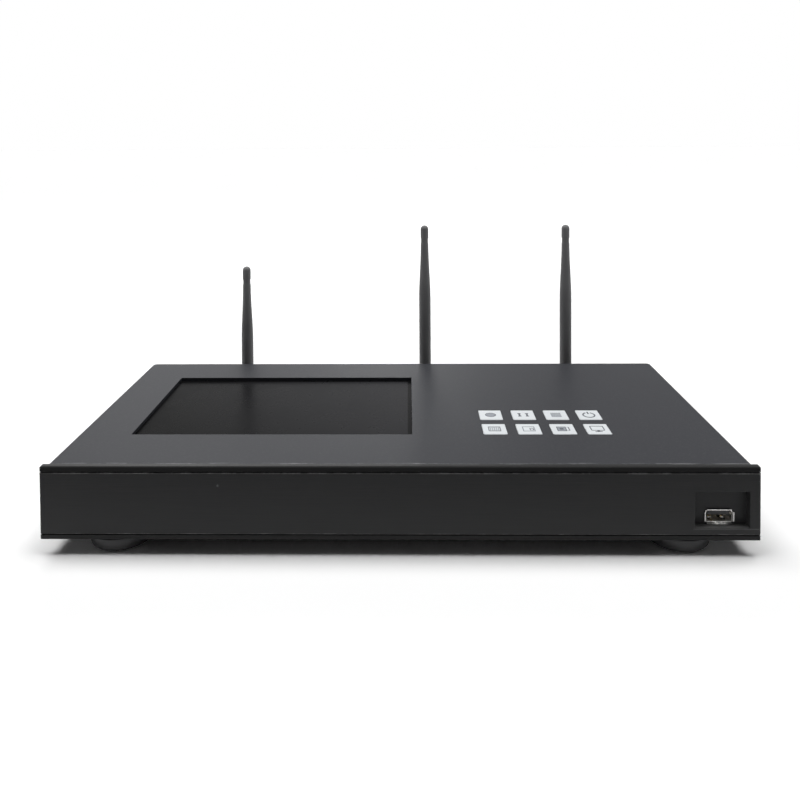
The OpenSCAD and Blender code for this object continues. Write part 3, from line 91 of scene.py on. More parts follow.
class PlayerColours(PropertyGroup):
    """Colours of the finishes."""
    cover: colour("Cover paint", "Satin charcoal paint of the cover and rear panel", (0.0243, 0.0254, 0.0298))
    front: colour("Front panel", "Satin black finish of the front panel", (0.024, 0.024, 0.0245))
    steel: colour("Steel", "Zinc plated sheet steel", (0.52, 0.53, 0.55))
    screws: colour("Black screws", "Black oxide of the screws", (0.022, 0.022, 0.025))
    nickel: colour("Nickel", "Bright nickel of shells and pins", (0.70, 0.69, 0.67))
    brass: colour("Gold plate", "Gold plated brass of the jacks and contacts", (0.78, 0.57, 0.24))
    glass: colour("Screen glass", "Smoked glass over the screen", (0.011, 0.011, 0.012))
    keys: colour("Keys", "Light grey of the keys", (0.68, 0.71, 0.73))
    print_line: colour("Print line", "Dark grey of the printed lines", (0.085, 0.095, 0.11))
    print_fill: colour("Print fill", "Mid grey of the printed areas", (0.27, 0.29, 0.32))
    plastic: colour("Black plastic", "Moulded black plastic", (0.044, 0.044, 0.045))
    rubber: colour("Rubber", "Satin rubber of the antennas and the foot pads", (0.136, 0.137, 0.139))
    board: colour("Board", "Solder mask of the circuit boards", (0.012, 0.105, 0.045))
    ribbon: colour("Ribbon", "Amber film of the screen ribbon", (0.55, 0.30, 0.07))
    aluminium: colour("Cast aluminium", "Heat sink, hard drive and other castings", (0.55, 0.56, 0.58))


class PlayerStage(PropertyGroup):
    """Light, floor and camera."""
    key_lamps: share("Key lamps", "Strength of each of the two lamps above the sides", 1.45, 10.0)
    room_light: share("Room light", "Light from the front and back of the room", 0.02, 2.0)
    side_light: share("Side light", "Light from the left and right walls of the room", 1.0, 2.0)
    left_box: share("Left box", "Power in watts of the soft box behind the left side", 5.4, 200.0)
    back_box: share("Back box", "Power in watts of the small soft box behind the middle", 1.5, 200.0)
    floor: colour("Floor", "Colour that the floor gives to the object", (0.82, 0.82, 0.83))
    floor_white: share("Floor white", "Colour of the floor in the picture; above 1 it clears to white", 1.06,
                       4.0)


# ---------------- node trees


def put(tree, kind, inputs=None, **settings):
    """Adds one shader node, sets its properties, and fills or links its inputs by name or number."""
    node = tree.nodes.new("ShaderNode" + kind)
    for key, value in settings.items():
        setattr(node, key, value)
    for key, value in (inputs or {}).items():
        if isinstance(value, bpy.types.NodeSocket):
            tree.links.new(value, node.inputs[key])
        else:
            node.inputs[key].default_value = value
    return node


def place(tree):
    """The point on the piece, in metres: every piece's object sits at the origin."""
    return put(tree, "TexCoord").outputs["Object"]


def stretched(tree, scale):
    """The point on the piece, stretched by three numbers."""
    return put(tree, "Mapping", {"Vector": place(tree), "Scale": scale}).outputs["Vector"]


def noise(tree, scale, detail=2.0, rough=0.5, vector=None):
    """Noise from 0 to 1."""
    inputs = {"Vector": vector or place(tree), "Scale": scale, "Detail": detail, "Roughness": rough}
    return put(tree, "TexNoise", inputs).outputs["Fac"]


def ramp(tree, value, low, high, to_low=0.0, to_high=1.0):
    """value from low to high, turned into to_low to to_high and clamped."""
    inputs = {"Value": value, "From Min": low, "From Max": high, "To Min": to_low, "To Max": to_high}
    return put(tree, "MapRange", inputs).outputs["Result"]


def calc(tree, operation, a, b=0.0):
    """One step of arithmetic."""
    return put(tree, "Math", {0: a, 1: b}, operation=operation).outputs[0]


def mix(tree, mask, low, high):
    """A colour between two, by mask."""
    low, high = ((*c, 1.0) if not isinstance(c, bpy.types.NodeSocket) else c for c in (low, high))
    return put(tree, "Mix", {0: mask, 6: low, 7: high}, data_type="RGBA").outputs[2]


def bump(tree, height, depth, strength=1.0, normal=None):
    """A normal from a height of 0 to 1, depth metres deep."""
    inputs = {"Height": height, "Distance": depth, "Strength": strength}
    if normal is not None:
        inputs["Normal"] = normal
    return put(tree, "Bump", inputs).outputs["Normal"]


def shaded(c, factor):
    """A colour made lighter or darker."""
    return tuple(min(1.0, v * factor) for v in c)


def grey(value):
    """A plain grey."""
    return (value, value, value)


def shades(tree, mask, c, low, high):
    """A darker and a lighter shade of a colour, by mask."""
    return mix(tree, mask, shaded(c, low), shaded(c, high))


def times(tree, *values):
    """Masks and numbers multiplied together."""
    result = values[0]
    for value in values[1:]:
        result = calc(tree, "MULTIPLY", result, value)
    return result


def layer(tree, base, mask, amount, c):
    """A colour laid over base, by a mask times an amount."""
    return mix(tree, times(tree, mask, amount), base, c)


def along(tree, vector=None):
    """X, Y and Z of the point on the piece, or of another vector."""
    return put(tree, "SeparateXYZ", {0: vector or place(tree)}).outputs


def facing_up(tree):
    """1 where the surface faces up, 0 where it is upright."""
    return along(tree, put(tree, "NewGeometry").outputs["Normal"])["Z"]


def within(tree, value, start, stop, soft):
    """1 where value lies from start to stop, fading to 0 over soft beyond them."""
    return times(tree, ramp(tree, value, start - soft, start), ramp(tree, value, stop, stop + soft, 1.0, 0.0))


EFFECTS = {}


def effect(name, inputs, build):
    """A shader node group with named inputs and outputs, built once. An output named Normal is a vector."""
    tree = bpy.data.node_groups.new(name, "ShaderNodeTree")
    for label, value in inputs.items():
        tree.interface.new_socket(label, in_out="INPUT", socket_type="NodeSocketFloat").default_value = value
    result = build(tree, tree.nodes.new("NodeGroupInput").outputs)
    for label in result:
        kind = "NodeSocketVector" if label == "Normal" else "NodeSocketFloat"
        tree.interface.new_socket(label, in_out="OUTPUT", socket_type=kind)
    end = tree.nodes.new("NodeGroupOutput")
    for label, socket in result.items():
        tree.links.new(socket, end.inputs[label])
    EFFECTS[name] = tree


def use(tree, name, **inputs):
    """Places an effect in a material, with its own values."""
    labels = {key.replace("_", " ").capitalize(): value for key, value in inputs.items()}
    return put(tree, "Group", labels, node_tree=EFFECTS[name]).outputs


def make_effects():
    """The effects that more than one finish uses."""
    def paint_grain(tree, given):
        coarse = noise(tree, given["Scale"], 3.0, 0.6)
        fine = noise(tree, times(tree, given["Scale"], 3.7), 1.0)
        return {"Height": times(tree, coarse, 0.7), "Tone": fine}

    # Pale worn patches on edges, which on the front panel also stand as painted glints
    def edge_wear_and_glints(tree, given):
        soft = put(tree, "Bevel", {"Radius": given["Radius"]}, samples=4).outputs["Normal"]
        flat = put(tree, "NewGeometry").outputs["Normal"]
        turn = put(tree, "VectorMath", {0: soft, 1: flat}, operation="DOT_PRODUCT").outputs["Value"]
        edge = ramp(tree, turn, 0.995, 0.85)
        patches = ramp(tree, noise(tree, given["Patches"], 4.0, 0.7), 0.42, 0.62)
        return {"Edge": edge, "Worn": times(tree, edge, patches), "Normal": soft}

    def settled_dust(tree, given):
        up = ramp(tree, facing_up(tree), 0.3, 1.0)
        specks = ramp(tree, noise(tree, given["Scale"], 6.0, 0.75), 0.52, 0.75)
        return {"Dust": times(tree, up, specks, given["Amount"])}

    def brushed_lines(tree, given):
        size = put(tree, "CombineXYZ",
                   {0: given["Along x"], 1: given["Along y"], 2: given["Along z"]})
        vector = put(tree, "VectorMath", {0: place(tree), 1: size.outputs[0]},
                     operation="MULTIPLY").outputs["Vector"]
        lines = noise(tree, 1.0, 3.0, 0.7, vector)
        return {"Height": lines, "Tone": ramp(tree, lines, 0.3, 0.7)}

    def slow_drift(tree, given):
        return {"Tone": ramp(tree, noise(tree, given["Scale"], 1.0, 0.4), 0.3, 0.7)}

    effect("paint grain", {"Scale": 1800.0}, paint_grain)
    effect("edge wear and glints", {"Radius": 0.3 * MM, "Patches": 300.0}, edge_wear_and_glints)
    effect("settled dust", {"Scale": 400.0, "Amount": 0.2}, settled_dust)
    effect("brushed lines", {"Along x": 60.0, "Along y": 4000.0, "Along z": 4000.0}, brushed_lines)
    effect("slow drift", {"Scale": 8.0}, slow_drift)


# ---------------- finishes

FINISHES = {}


def start_finish(name, metallic=0.0, roughness=0.5, specular=0.5):
    """A new material, its tree and its Principled shader, with the values that are the same all over."""
    material = bpy.data.materials.new(name)
    material.use_nodes = True
    tree = material.node_tree
    shader = tree.nodes["Principled BSDF"]
    shader.inputs["Metallic"].default_value = metallic
    shader.inputs["Roughness"].default_value = roughness
    shader.inputs["Specular IOR Level"].default_value = specular
    FINISHES[name] = material
    return tree, shader


def give(tree, shader, **sockets):
    """Links varying colours and values to the shader."""
    for key, value in sockets.items():
        tree.links.new(value, shader.inputs[key.replace("_", " ").title()])


# The cover's band of painted glints and the glass's printed border, from their edges
COVER_GLINTS = (0.8 * MM, 1.7 * MM)
GLASS_BORDER = 5.6 * MM
# The front panel's grooves, from its top and bottom edges
GROOVE = 2.9 * MM
# The painted highlight along the ledge under the USB recess, from the panel's top edge and right end
LEDGE_DROP = 31.2 * MM
LEDGE_REACH = (34.0 * MM, 32.0 * MM)
# The USB recess, from the panel's front (Y), right end (X) and top edge (Z)
RECESS = {"Y": (0.4 * MM, 4.5 * MM), "X": (-33.0 * MM, -5.0 * MM), "Z": (-31.5 * MM, -12.0 * MM)}


def surface(name, c, shade, rough, grain=None, lines=None, drift=None, edge=None, relief=None, wear=None,
            dust=None, **plain):
    """A finish whose fine grain, or brushed lines along x, y and z, vary its colour and its gloss.

    shade and rough are the ends of both. drift is the scale of a slower change of colour, edge the radius of
    the soft edges and the scale of their worn patches, and relief the depth and strength of the bump; lengths
    are in millimetres. wear is a mask's name, an amount and a colour, dust a scale, an amount and a colour.
    """
    tree, shader = start_finish(name, **plain)
    if lines:
        fine = use(tree, "brushed lines", along_x=lines[0], along_y=lines[1], along_z=lines[2])
        gloss = ramp(tree, fine["Tone"], 0.0, 1.0, *rough)
    else:
        fine = use(tree, "paint grain", scale=grain)
        gloss = ramp(tree, fine["Tone"], 0.3, 0.7, *rough)
    tone = use(tree, "slow drift", scale=drift)["Tone"] if drift else fine["Tone"]
    base = shades(tree, tone, c, *shade)
    if edge:
        worn = use(tree, "edge wear and glints", radius=edge[0] * MM, patches=edge[1])
        give(tree, shader, normal=bump(tree, fine["Height"], relief[0] * MM, relief[1], worn["Normal"]))
        if wear:
            base = layer(tree, base, worn[wear[0]], *wear[1:])
    if dust:
        fallen = use(tree, "settled dust", scale=dust[0], amount=dust[1])["Dust"]
        base = mix(tree, fallen, base, dust[2])
    give(tree, shader, base_color=base, roughness=gloss)


def make_cover_paint(colours):
    """Satin charcoal paint, with painted glints, pale and broken, along the cover's front edge."""
    tree, shader = start_finish("cover_paint", specular=0.10)
    grain = use(tree, "paint grain", scale=2600.0)
    edge = use(tree, "edge wear and glints", radius=0.35 * MM, patches=500.0)
    drift = use(tree, "slow drift", scale=5.0)
    dust = use(tree, "settled dust", scale=900.0, amount=0.10)
    base = shades(tree, drift["Tone"], colours.cover, 0.93, 1.07)
    fine = ramp(tree, grain["Tone"], 0.35, 0.65, 0.0, 0.5)
    base = mix(tree, fine, base, shaded(colours.cover, 1.3))
    base = layer(tree, base, edge["Worn"], 0.5, shaded(colours.cover, 3.0))
    base = mix(tree, dust["Dust"], base, grey(0.2))
    # Painted highlight: broken pale glints in a band along the cover's front edge
    start, stop = (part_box("top_cover")[0].y + reach for reach in COVER_GLINTS)
    rim = within(tree, along(tree)["Y"], start, stop, 0.3 * MM)
    painted_glints = ramp(tree, noise(tree, 1.0, 5.0, 0.8, stretched(tree, (60.0, 900.0, 0.0))), 0.50, 0.66)
    base = layer(tree, base, times(tree, rim, painted_glints), 0.75, (0.32, 0.32, 0.33))
    give(tree, shader, base_color=base, roughness=ramp(tree, grain["Tone"], 0.3, 0.7, 0.44, 0.56),
         normal=bump(tree, grain["Height"], 0.05 * MM, 0.35, edge["Normal"]))


def make_front_finish(colours):
    """Satin black, with painted shade on the beads and painted light: glints, a paler recess and lower face.
    """
    tree, shader = start_finish("front_panel_finish", specular=0.13)
    lines = use(tree, "brushed lines", along_x=40.0, along_y=5200.0, along_z=5200.0)
    edge = use(tree, "edge wear and glints", radius=0.3 * MM, patches=260.0)
    drift = use(tree, "slow drift", scale=9.0)
    low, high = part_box("front_panel")
    middle, point = (low.z + high.z) / 2, along(tree)
    base = shades(tree, lines["Tone"], colours.front, 0.85, 1.15)
    # Painted reflection of the floor: the face made paler towards its bottom
    film = ramp(tree, point["Z"], low.z + 2 * MM, high.z - 3 * MM, 0.30, 0.0)
    base = mix(tree, film, base, grey(0.085))

    groove = high.z - middle - GROOVE
    away = calc(tree, "ABSOLUTE", calc(tree, "SUBTRACT", point["Z"], middle))
    # Painted shade: the beads, their tops included, darkened, the upper bead more than the lower
    painted_bead_shade = ramp(tree, away, groove - 0.1 * MM, groove + 0.3 * MM)
    dark = ramp(tree, point["Z"], middle - MM, middle + MM, 0.55, 0.95)
    base = mix(tree, times(tree, painted_bead_shade, dark), base, (0.0012, 0.0012, 0.0013))
    # Painted highlight: broken pale glints along the inner lip of each groove
    lip = times(tree, ramp(tree, away, groove - 0.8 * MM, groove - 0.5 * MM),
                ramp(tree, away, groove - 0.3 * MM, groove - 0.1 * MM, 1.0, 0.0))
    painted_glints = noise(tree, 1.0, 5.0, 0.8, stretched(tree, (70.0, 0.0, 9.0)))
    painted_glints = ramp(tree, painted_glints, 0.46, 0.68, 0.15, 1.0)
    base = layer(tree, base, times(tree, lip, painted_glints), 0.75, grey(0.30))

    # Painted highlight: a pale line along the front edge of the ledge under the USB recess
    ledge = within(tree, point["Z"], high.z - LEDGE_DROP, high.z - LEDGE_DROP, 0.35 * MM)
    reach = ramp(tree, point["X"], high.x - LEDGE_REACH[0], high.x - LEDGE_REACH[1])
    base = layer(tree, base, times(tree, ledge, reach), 0.3, grey(0.26))
    # Painted light: the upward faces inside the USB recess made paler, against the shade there
    recess = facing_up(tree)
    for (axis, (start, stop)), side in zip(RECESS.items(), (low.y, high.x, high.z)):
        recess = times(tree, recess, within(tree, point[axis], side + start, side + stop, 0.2 * MM))
    base = mix(tree, ramp(tree, recess, 0.3, 1.0), base, grey(0.14))
    # Partly wear, partly painted glints: pale patches along the panel's edges
    base = layer(tree, base, edge["Worn"], 0.3, grey(0.16))
    rough = calc(tree, "ADD", ramp(tree, lines["Tone"], 0.0, 1.0, 0.36, 0.44),
                 ramp(tree, drift["Tone"], 0.0, 1.0, -0.02, 0.02))
    give(tree, shader, base_color=base, roughness=rough,
         normal=bump(tree, lines["Height"], 0.012 * MM, 0.35, edge["Normal"]))


def make_metals(colours):
    """Black oxide, zinc plated steel, nickel, gold plate and cast aluminium."""
    tree, shader = start_finish("black_screws")
    edge = use(tree, "edge wear and glints", radius=0.2 * MM, patches=900.0)
    base = mix(tree, edge["Worn"], colours.screws, (0.35, 0.34, 0.33))
    give(tree, shader, base_color=base, metallic=times(tree, edge["Worn"], 0.9),
         roughness=ramp(tree, noise(tree, 1500.0), 0.3, 0.7, 0.32, 0.46), normal=edge["Normal"])

    tree, shader = start_finish("steel", metallic=1.0)
    cells = put(tree, "TexVoronoi", {"Vector": place(tree), "Scale": 260.0}).outputs["Color"]
    spangle = put(tree, "SeparateColor", {0: cells}).outputs[0]
    lines = use(tree, "brushed lines", along_x=90.0, along_y=2600.0, along_z=2600.0)
    edge = use(tree, "edge wear and glints", radius=0.25 * MM, patches=400.0)
    base = shades(tree, spangle, colours.steel, 0.86, 1.12)
    base = layer(tree, base, edge["Worn"], 0.4, shaded(colours.steel, 1.35))
    give(tree, shader, base_color=base, roughness=ramp(tree, spangle, 0.0, 1.0, 0.30, 0.44),
         normal=bump(tree, lines["Height"], 0.01 * MM, 0.3, edge["Normal"]))

    surface("nickel", colours.nickel, (0.94, 1.04), (0.15, 0.27), lines=(300.0, 300.0, 5000.0),
            edge=(0.12, 900.0), relief=(0.006, 0.3), metallic=1.0)
    surface("brass", colours.brass, (0.9, 1.06), (0.2, 0.33), lines=(400.0, 4200.0, 400.0),
            edge=(0.15, 700.0), relief=(0.008, 0.3), wear=("Worn", 0.5, (0.86, 0.74, 0.50)), metallic=1.0)
    surface("cast_aluminium", colours.aluminium, (0.82, 1.05), (0.38, 0.54), grain=1500.0, edge=(0.3, 300.0),
            relief=(0.06, 0.5), wear=("Edge", 0.6, shaded(colours.aluminium, 1.4)), metallic=1.0)


def make_usb_nickel(colours):
    """USB shell nickel, lighter than plain nickel as painted light, with painted shade on its lower lip."""
    tree, shader = start_finish("usb_nickel")
    lines = use(tree, "brushed lines", along_x=300.0, along_y=300.0, along_z=5000.0)
    edge = use(tree, "edge wear and glints", radius=0.1 * MM, patches=900.0)
    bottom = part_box("usb_shell")[0].z
    # Painted shade: the shell's lower lip darkened, broken by patches of bright metal
    lower = ramp(tree, along(tree)["Z"], bottom + 0.9 * MM, bottom + 1.5 * MM, 1.0, 0.0)
    specks = ramp(tree, noise(tree, 300.0, 4.0, 0.7), 0.44, 0.58)
    painted_lip_shade = times(tree, lower, ramp(tree, specks, 0.0, 1.0, 0.98, 0.35))
    # Painted light: this nickel is lighter than the plain nickel finish
    base = mix(tree, painted_lip_shade, shades(tree, lines["Tone"], colours.nickel, 1.25, 1.36), grey(0.012))
    give(tree, shader, base_color=base, roughness=ramp(tree, painted_lip_shade, 0.0, 1.0, 0.2, 0.6),
         metallic=ramp(tree, painted_lip_shade, 0.0, 1.0, 1.0, 0.2),
         normal=bump(tree, lines["Height"], 0.006 * MM, 0.3, edge["Normal"]))


def make_plastics(colours):
    """Key plastic, its two print inks, black plastic, rubber and lens."""
    surface("key_plastic", colours.keys, (0.96, 1.03), (0.38, 0.48), grain=5200.0, edge=(0.25, 500.0),
            relief=(0.03, 0.3), wear=("Edge", 0.25, shaded(colours.keys, 0.75)),
            dust=(1500.0, 0.10, (0.45, 0.44, 0.42)), specular=0.35)
    for name, ink in (("print_line", colours.print_line), ("print_fill", colours.print_fill)):
        surface(name, ink, (0.85, 1.12), (0.48, 0.62), grain=6500.0, specular=0.3)
    surface("black_plastic", colours.plastic, (0.8, 1.25), (0.4, 0.56), grain=2200.0, edge=(0.25, 450.0),
            relief=(0.08, 0.45), wear=("Worn", 0.4, shaded(colours.plastic, 4.0)),
            dust=(700.0, 0.15, (0.16, 0.155, 0.15)), specular=0.35)
    surface("rubber", colours.rubber, (0.9, 1.12), (0.48, 0.64), grain=3400.0, drift=40.0, edge=(0.3, 350.0),
            relief=(0.05, 0.4), wear=("Worn", 0.3, shaded(colours.rubber, 2.4)))

    tree, shader = start_finish("lamp_lens")
    tone = noise(tree, 2500.0)
    give(tree, shader, base_color=mix(tree, tone, (0.02, 0.022, 0.022), (0.045, 0.05, 0.05)),
         roughness=ramp(tree, tone, 0.3, 0.7, 0.16, 0.3))


def make_screen_glass(colours):
    """Smoked glass: a printed border round a picture area with a painted reflection, lighter to the right."""
    tree, shader = start_finish("glass", specular=0.025)
    low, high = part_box("screen_glass")
    point = along(tree)
    inside = times(tree, *(within(tree, point[axis], start + GLASS_BORDER, stop - GLASS_BORDER, 0.25 * MM)
                           for axis, start, stop in (("X", low.x, high.x), ("Y", low.y, high.y))))
    edge = use(tree, "edge wear and glints", radius=0.1 * MM, patches=500.0)
    smears = ramp(tree, noise(tree, 34.0, 5.0, 0.7), 0.4, 0.7)
    # Painted reflection: the picture area lighter towards the right and back
    film = ramp(tree, calc(tree, "ADD", point["X"], times(tree, point["Y"], 0.5)), low.x, high.x)
    base = mix(tree, inside, shaded(colours.glass, 0.4), shades(tree, film, colours.glass, 0.1, 2.6))
    dust = use(tree, "settled dust", scale=1300.0, amount=0.015)
    base = mix(tree, dust["Dust"], base, grey(0.25))
    give(tree, shader, base_color=base, roughness=ramp(tree, smears, 0.0, 1.0, 0.26, 0.34),
         normal=edge["Normal"])


def make_board_finishes(colours):
    """Solder mask with its copper pattern, and the ribbon's film."""
    tree, shader = start_finish("circuit_board")
    brick = {"Vector": place(tree), "Scale": 120.0, "Color1": (1, 1, 1, 1), "Color2": (0.6, 0.6, 0.6, 1),
             "Mortar": (0, 0, 0, 1), "Mortar Size": 0.06, "Brick Width": 0.9, "Row Height": 0.22}
    tracks = put(tree, "TexBrick", brick).outputs["Fac"]
    cells = put(tree, "TexVoronoi", {"Vector": place(tree), "Scale": 330.0}).outputs["Distance"]
    vias = ramp(tree, cells, 0.10, 0.14, 1.0, 0.0)
    copper = calc(tree, "SUBTRACT", 1.0, tracks)
    base = shades(tree, copper, colours.board, 0.7, 1.35)
    base = mix(tree, vias, base, (0.50, 0.42, 0.24))
    give(tree, shader, base_color=base, roughness=ramp(tree, noise(tree, 900.0), 0.3, 0.7, 0.25, 0.4),
         normal=bump(tree, copper, 0.03 * MM, 0.4))

    tree, shader = start_finish("ribbon")
    low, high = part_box("screen_ribbon")
    wide = 0 if high.x - low.x > high.y - low.y else 1
    stripes = {"Vector": stretched(tree, [(1900.0, 0.0, 0.0), (0.0, 1900.0, 0.0)][wide]), "Scale": 1.0}
    lines = put(tree, "TexWave", stripes, bands_direction="XY"[wide]).outputs["Fac"]
    copper = ramp(tree, lines, 0.35, 0.6)
    give(tree, shader, base_color=mix(tree, copper, colours.ribbon, (0.62, 0.36, 0.16)),
         roughness=ramp(tree, noise(tree, 600.0), 0.3, 0.7, 0.24, 0.4),
         normal=bump(tree, copper, 0.03 * MM, 0.3))


# ---------------- shapes


def oblong(x, y, width, depth, radius=0.0, steps=4):
    """A rectangle round (x, y), with round corners where radius isn't 0."""
    if radius <= 0:
        return [(x + sx * width / 2, y + sy * depth / 2) for sx, sy in ((-1, -1), (1, -1), (1, 1), (-1, 1))]
    points = []
    for k, (sx, sy) in enumerate(((1, 1), (-1, 1), (-1, -1), (1, -1))):
        cx, cy = x + sx * (width / 2 - radius), y + sy * (depth / 2 - radius)
        for n in range(steps + 1):
            a = radians(90 * (k + n / steps))
            points.append((cx + radius * cos(a), cy + radius * sin(a)))
    return points


def oval(x, y, width, depth, steps=40):
    """An ellipse round (x, y)."""
    turns = (2 * pi * n / steps for n in range(steps))
    return [(x + width / 2 * cos(a), y + depth / 2 * sin(a)) for a in turns]


def bow(x, y, width, depth, line, start, end, steps=36):
    """Part of an elliptical ring round (x, y), line metres wide, from start to end degrees."""
    points = []
    for radius, order in ((0.0, range(steps + 1)), (line, range(steps, -1, -1))):
        for n in order:
            a = radians(start + (end - start) * n / steps)
            points.append((x + (width / 2 - radius) * cos(a), y + (depth / 2 - radius) * sin(a)))
    return points


def corner(point, height, axes):
    """A point of an outline and its height, put in the order of axes, such as xyz or xzy."""
    values = {axes[0]: point[0], axes[1]: point[1], axes[2]: height}
    return values["x"], values["y"], values["z"]


def prism(mesh, outline, low, high, finish=0, axes="xyz"):
    """A straight solid over an outline in the first two axes, from low to high along the third."""
    under, over = ([mesh.verts.new(corner(p, h, axes)) for p in outline] for h in (low, high))
    faces = [mesh.faces.new(over), mesh.faces.new(under[::-1])]
    faces += [mesh.faces.new((under[k - 1], under[k], over[k], over[k - 1])) for k in range(len(outline))]
    for face in faces:
        face.material_index = finish


def hollow(mesh, outer, inner, low, high, finish=0, axes="xyz"):
    """A straight solid between two outlines that have the same number of points."""
    loops = [[mesh.verts.new(corner(p, h, axes)) for p in line]
             for line, h in ((outer, low), (outer, high), (inner, high), (inner, low))]
    for first, second in zip(loops, loops[1:] + loops[:1]):
        for k in range(len(outer)):
            face = mesh.faces.new((first[k - 1], first[k], second[k], second[k - 1]))
            face.material_index = finish


def turned(mesh, centre, profile, axes="xyz", steps=32):
    """A turned solid round the third axis through centre: profile is (radius, height) in mm, end to end."""
    rows = []
    for radius, height in profile:
        count = steps if radius > 0 else 1
        row = []
        for n in range(count):
            a = 2 * pi * n / count
            point = (radius * MM * cos(a), radius * MM * sin(a))
            row.append(mesh.verts.new(Vector(centre) + Vector(corner(point, height * MM, axes))))
        rows.append(row)
    for first, second in zip(rows, rows[1:]):
        for k in range(steps):
            ring = [row[j if len(row) > 1 else 0]
                    for row, j in ((first, k - 1), (first, k), (second, k), (second, k - 1))]
            face = mesh.faces.new(list(dict.fromkeys(ring)))
            face.smooth = True


def add_object(name, data):
    """A new object in the scene."""
    thing = bpy.data.objects.new(name, data)
    bpy.context.scene.collection.objects.link(thing)
    return thing


def make_piece(name, body, slot, build, finishes=(), bevel=0.0):
    """One piece: build fills its mesh, it rides on body, and its finish is slot's unless others are named."""
    mesh = bmesh.new()
    build(mesh)
    bmesh.ops.recalc_face_normals(mesh, faces=mesh.faces)
    data = bpy.data.meshes.new(name)
    mesh.to_mesh(data)
    mesh.free()
    for finish in finishes or (slot,):
        data.materials.append(FINISHES[finish])
    piece = add_object(name, data)
    if bevel > 0:
        edge = piece.modifiers.new("soft edges", "BEVEL")
        edge.width, edge.segments, edge.limit_method = bevel, 2, "ANGLE"
    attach(piece, body)


def dress(*nodes):
    """Gives CAD nodes the finish that their record slot names."""
    for name in nodes:
        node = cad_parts[name]
        slots = [slot.material.name.split(".")[0] for slot in node.material_slots if slot.material]
        missing = [slot for slot in slots if slot not in FINISHES]
        if missing or not slots:
            raise RuntimeError(f"{name} has no finish for {missing or 'any slot'}")
        for slot, wanted in zip(node.material_slots, slots):
            slot.material = FINISHES[wanted]


def refinish(name, finish):
    """Gives a CAD node one finish other than the one that its slot names."""
    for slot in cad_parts[name].material_slots:
        slot.material = FINISHES[finish]


def box_of(node):
    """The low and high corners of a CAD node's box, and its middle."""
    low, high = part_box(node)
    return low, high, (low + high) / 2


# ---------------- the signs on the keys

# How far a laid piece sinks into what carries it, and how far a sign's fill stays under its lines
SEAT = 0.02 * MM
FILL_DROP = 0.01 * MM


def rimmed(mesh, shape, x, y, width, depth, rim, low, high, finish=0, filled=False):
    """A rim along an oval or oblong, half of rim wide, with a grey fill where it is asked for."""
    inner = shape(x, y, width - rim, depth - rim)
    hollow(mesh, shape(x, y, width, depth), inner, low, high, finish)
    if filled:
        prism(mesh, inner, low, high - FILL_DROP, 1)


def sign_disc(mesh, x, y, w, line, low, high):
    """A disc: a dark rim round a grey fill."""
    rimmed(mesh, oval, x, y, 0.48 * w, 0.42 * w, 1.2 * line, low, high, filled=True)


def sign_pause(mesh, x, y, w, line, low, high):
    """Two upright marks with wider ends."""
    for side in (-1, 1):
        cx = x + side * 0.165 * w
        prism(mesh, oblong(cx, y, 1.2 * line, 0.34 * w), low, high)
        for end in (-1, 1):
            prism(mesh, oblong(cx, y + end * 0.135 * w, 0.14 * w, 0.07 * w), low, high + 0.002 * MM)


def sign_list(mesh, x, y, w, line, low, high):
    """Lines of text: a dark heading over pale bars."""
    prism(mesh, oblong(x, y + 0.175 * w, 0.44 * w, 0.6 * line), low, high)
    for row in range(4):
        prism(mesh, oblong(x, y + (0.085 - 0.092 * row) * w, 0.44 * w, 0.065 * w), low, high, 1)


def sign_power(mesh, x, y, w, line, low, high):
    """A ring with a gap, and a bar through the gap."""
    prism(mesh, bow(x, y - 0.02 * w, 0.56 * w, 0.56 * w, line, 112, 428), low, high)
    prism(mesh, oblong(x, y + 0.2 * w, line, 0.22 * w), low, high)


def sign_pad(mesh, x, y, w, line, low, high):
    """A pad of small squares in a frame."""
    rimmed(mesh, oblong, x, y, 0.52 * w, 0.44 * w, 1.1 * line, low, high)
    for column in range(5):
        for row in range(4):
            cx, cy = x + (column - 2) * 0.086 * w, y + (row - 1.5) * 0.088 * w
            prism(mesh, oblong(cx, cy, 0.055 * w, 0.055 * w), low, high - FILL_DROP, 1)


def sign_layout(mesh, x, y, w, line, low, high):
    """A window with a smaller window at its right."""
    rimmed(mesh, oblong, x, y, 0.52 * w, 0.46 * w, 1.3 * line, low, high, 1)
    rimmed(mesh, oblong, x + 0.12 * w, y - 0.03 * w, 0.17 * w, 0.2 * w, line, low, high)


def sign_camera(mesh, x, y, w, line, low, high):
    """A filled camera body, and a bracket at its right."""
    rimmed(mesh, oblong, x - 0.06 * w, y, 0.40 * w, 0.42 * w, line, low, high, filled=True)
    prism(mesh, oblong(x - 0.06 * w, y, 0.16 * w, 0.16 * w), low, high)
    for end in (-1, 1):
        prism(mesh, oblong(x + 0.215 * w, y + end * 0.16 * w, 0.09 * w, 0.5 * line), low, high, 1)
    prism(mesh, oblong(x + 0.25 * w, y, 0.7 * line, 0.30 * w), low, high)


def sign_monitor(mesh, x, y, w, line, low, high):
    """A monitor on its stand."""
    outer = oblong(x, y + 0.06 * w, 0.58 * w, 0.44 * w, 0.05 * w)
    inner = oblong(x, y + 0.06 * w, 0.58 * w - 1.3 * line, 0.44 * w - 1.3 * line, 0.03 * w)
    hollow(mesh, outer, inner, low, high)
    prism(mesh, oblong(x, y - 0.2 * w, 0.1 * w, 0.1 * w), low, high)
    prism(mesh, oblong(x, y - 0.265 * w, 0.3 * w, 0.05 * w), low, high)


SIGNS = {"disc": sign_disc, "pause": sign_pause, "list": sign_list, "power": sign_power,
         "pad": sign_pad, "layout": sign_layout, "camera": sign_camera, "monitor": sign_monitor}


# ---------------- operators, one for each group of pieces


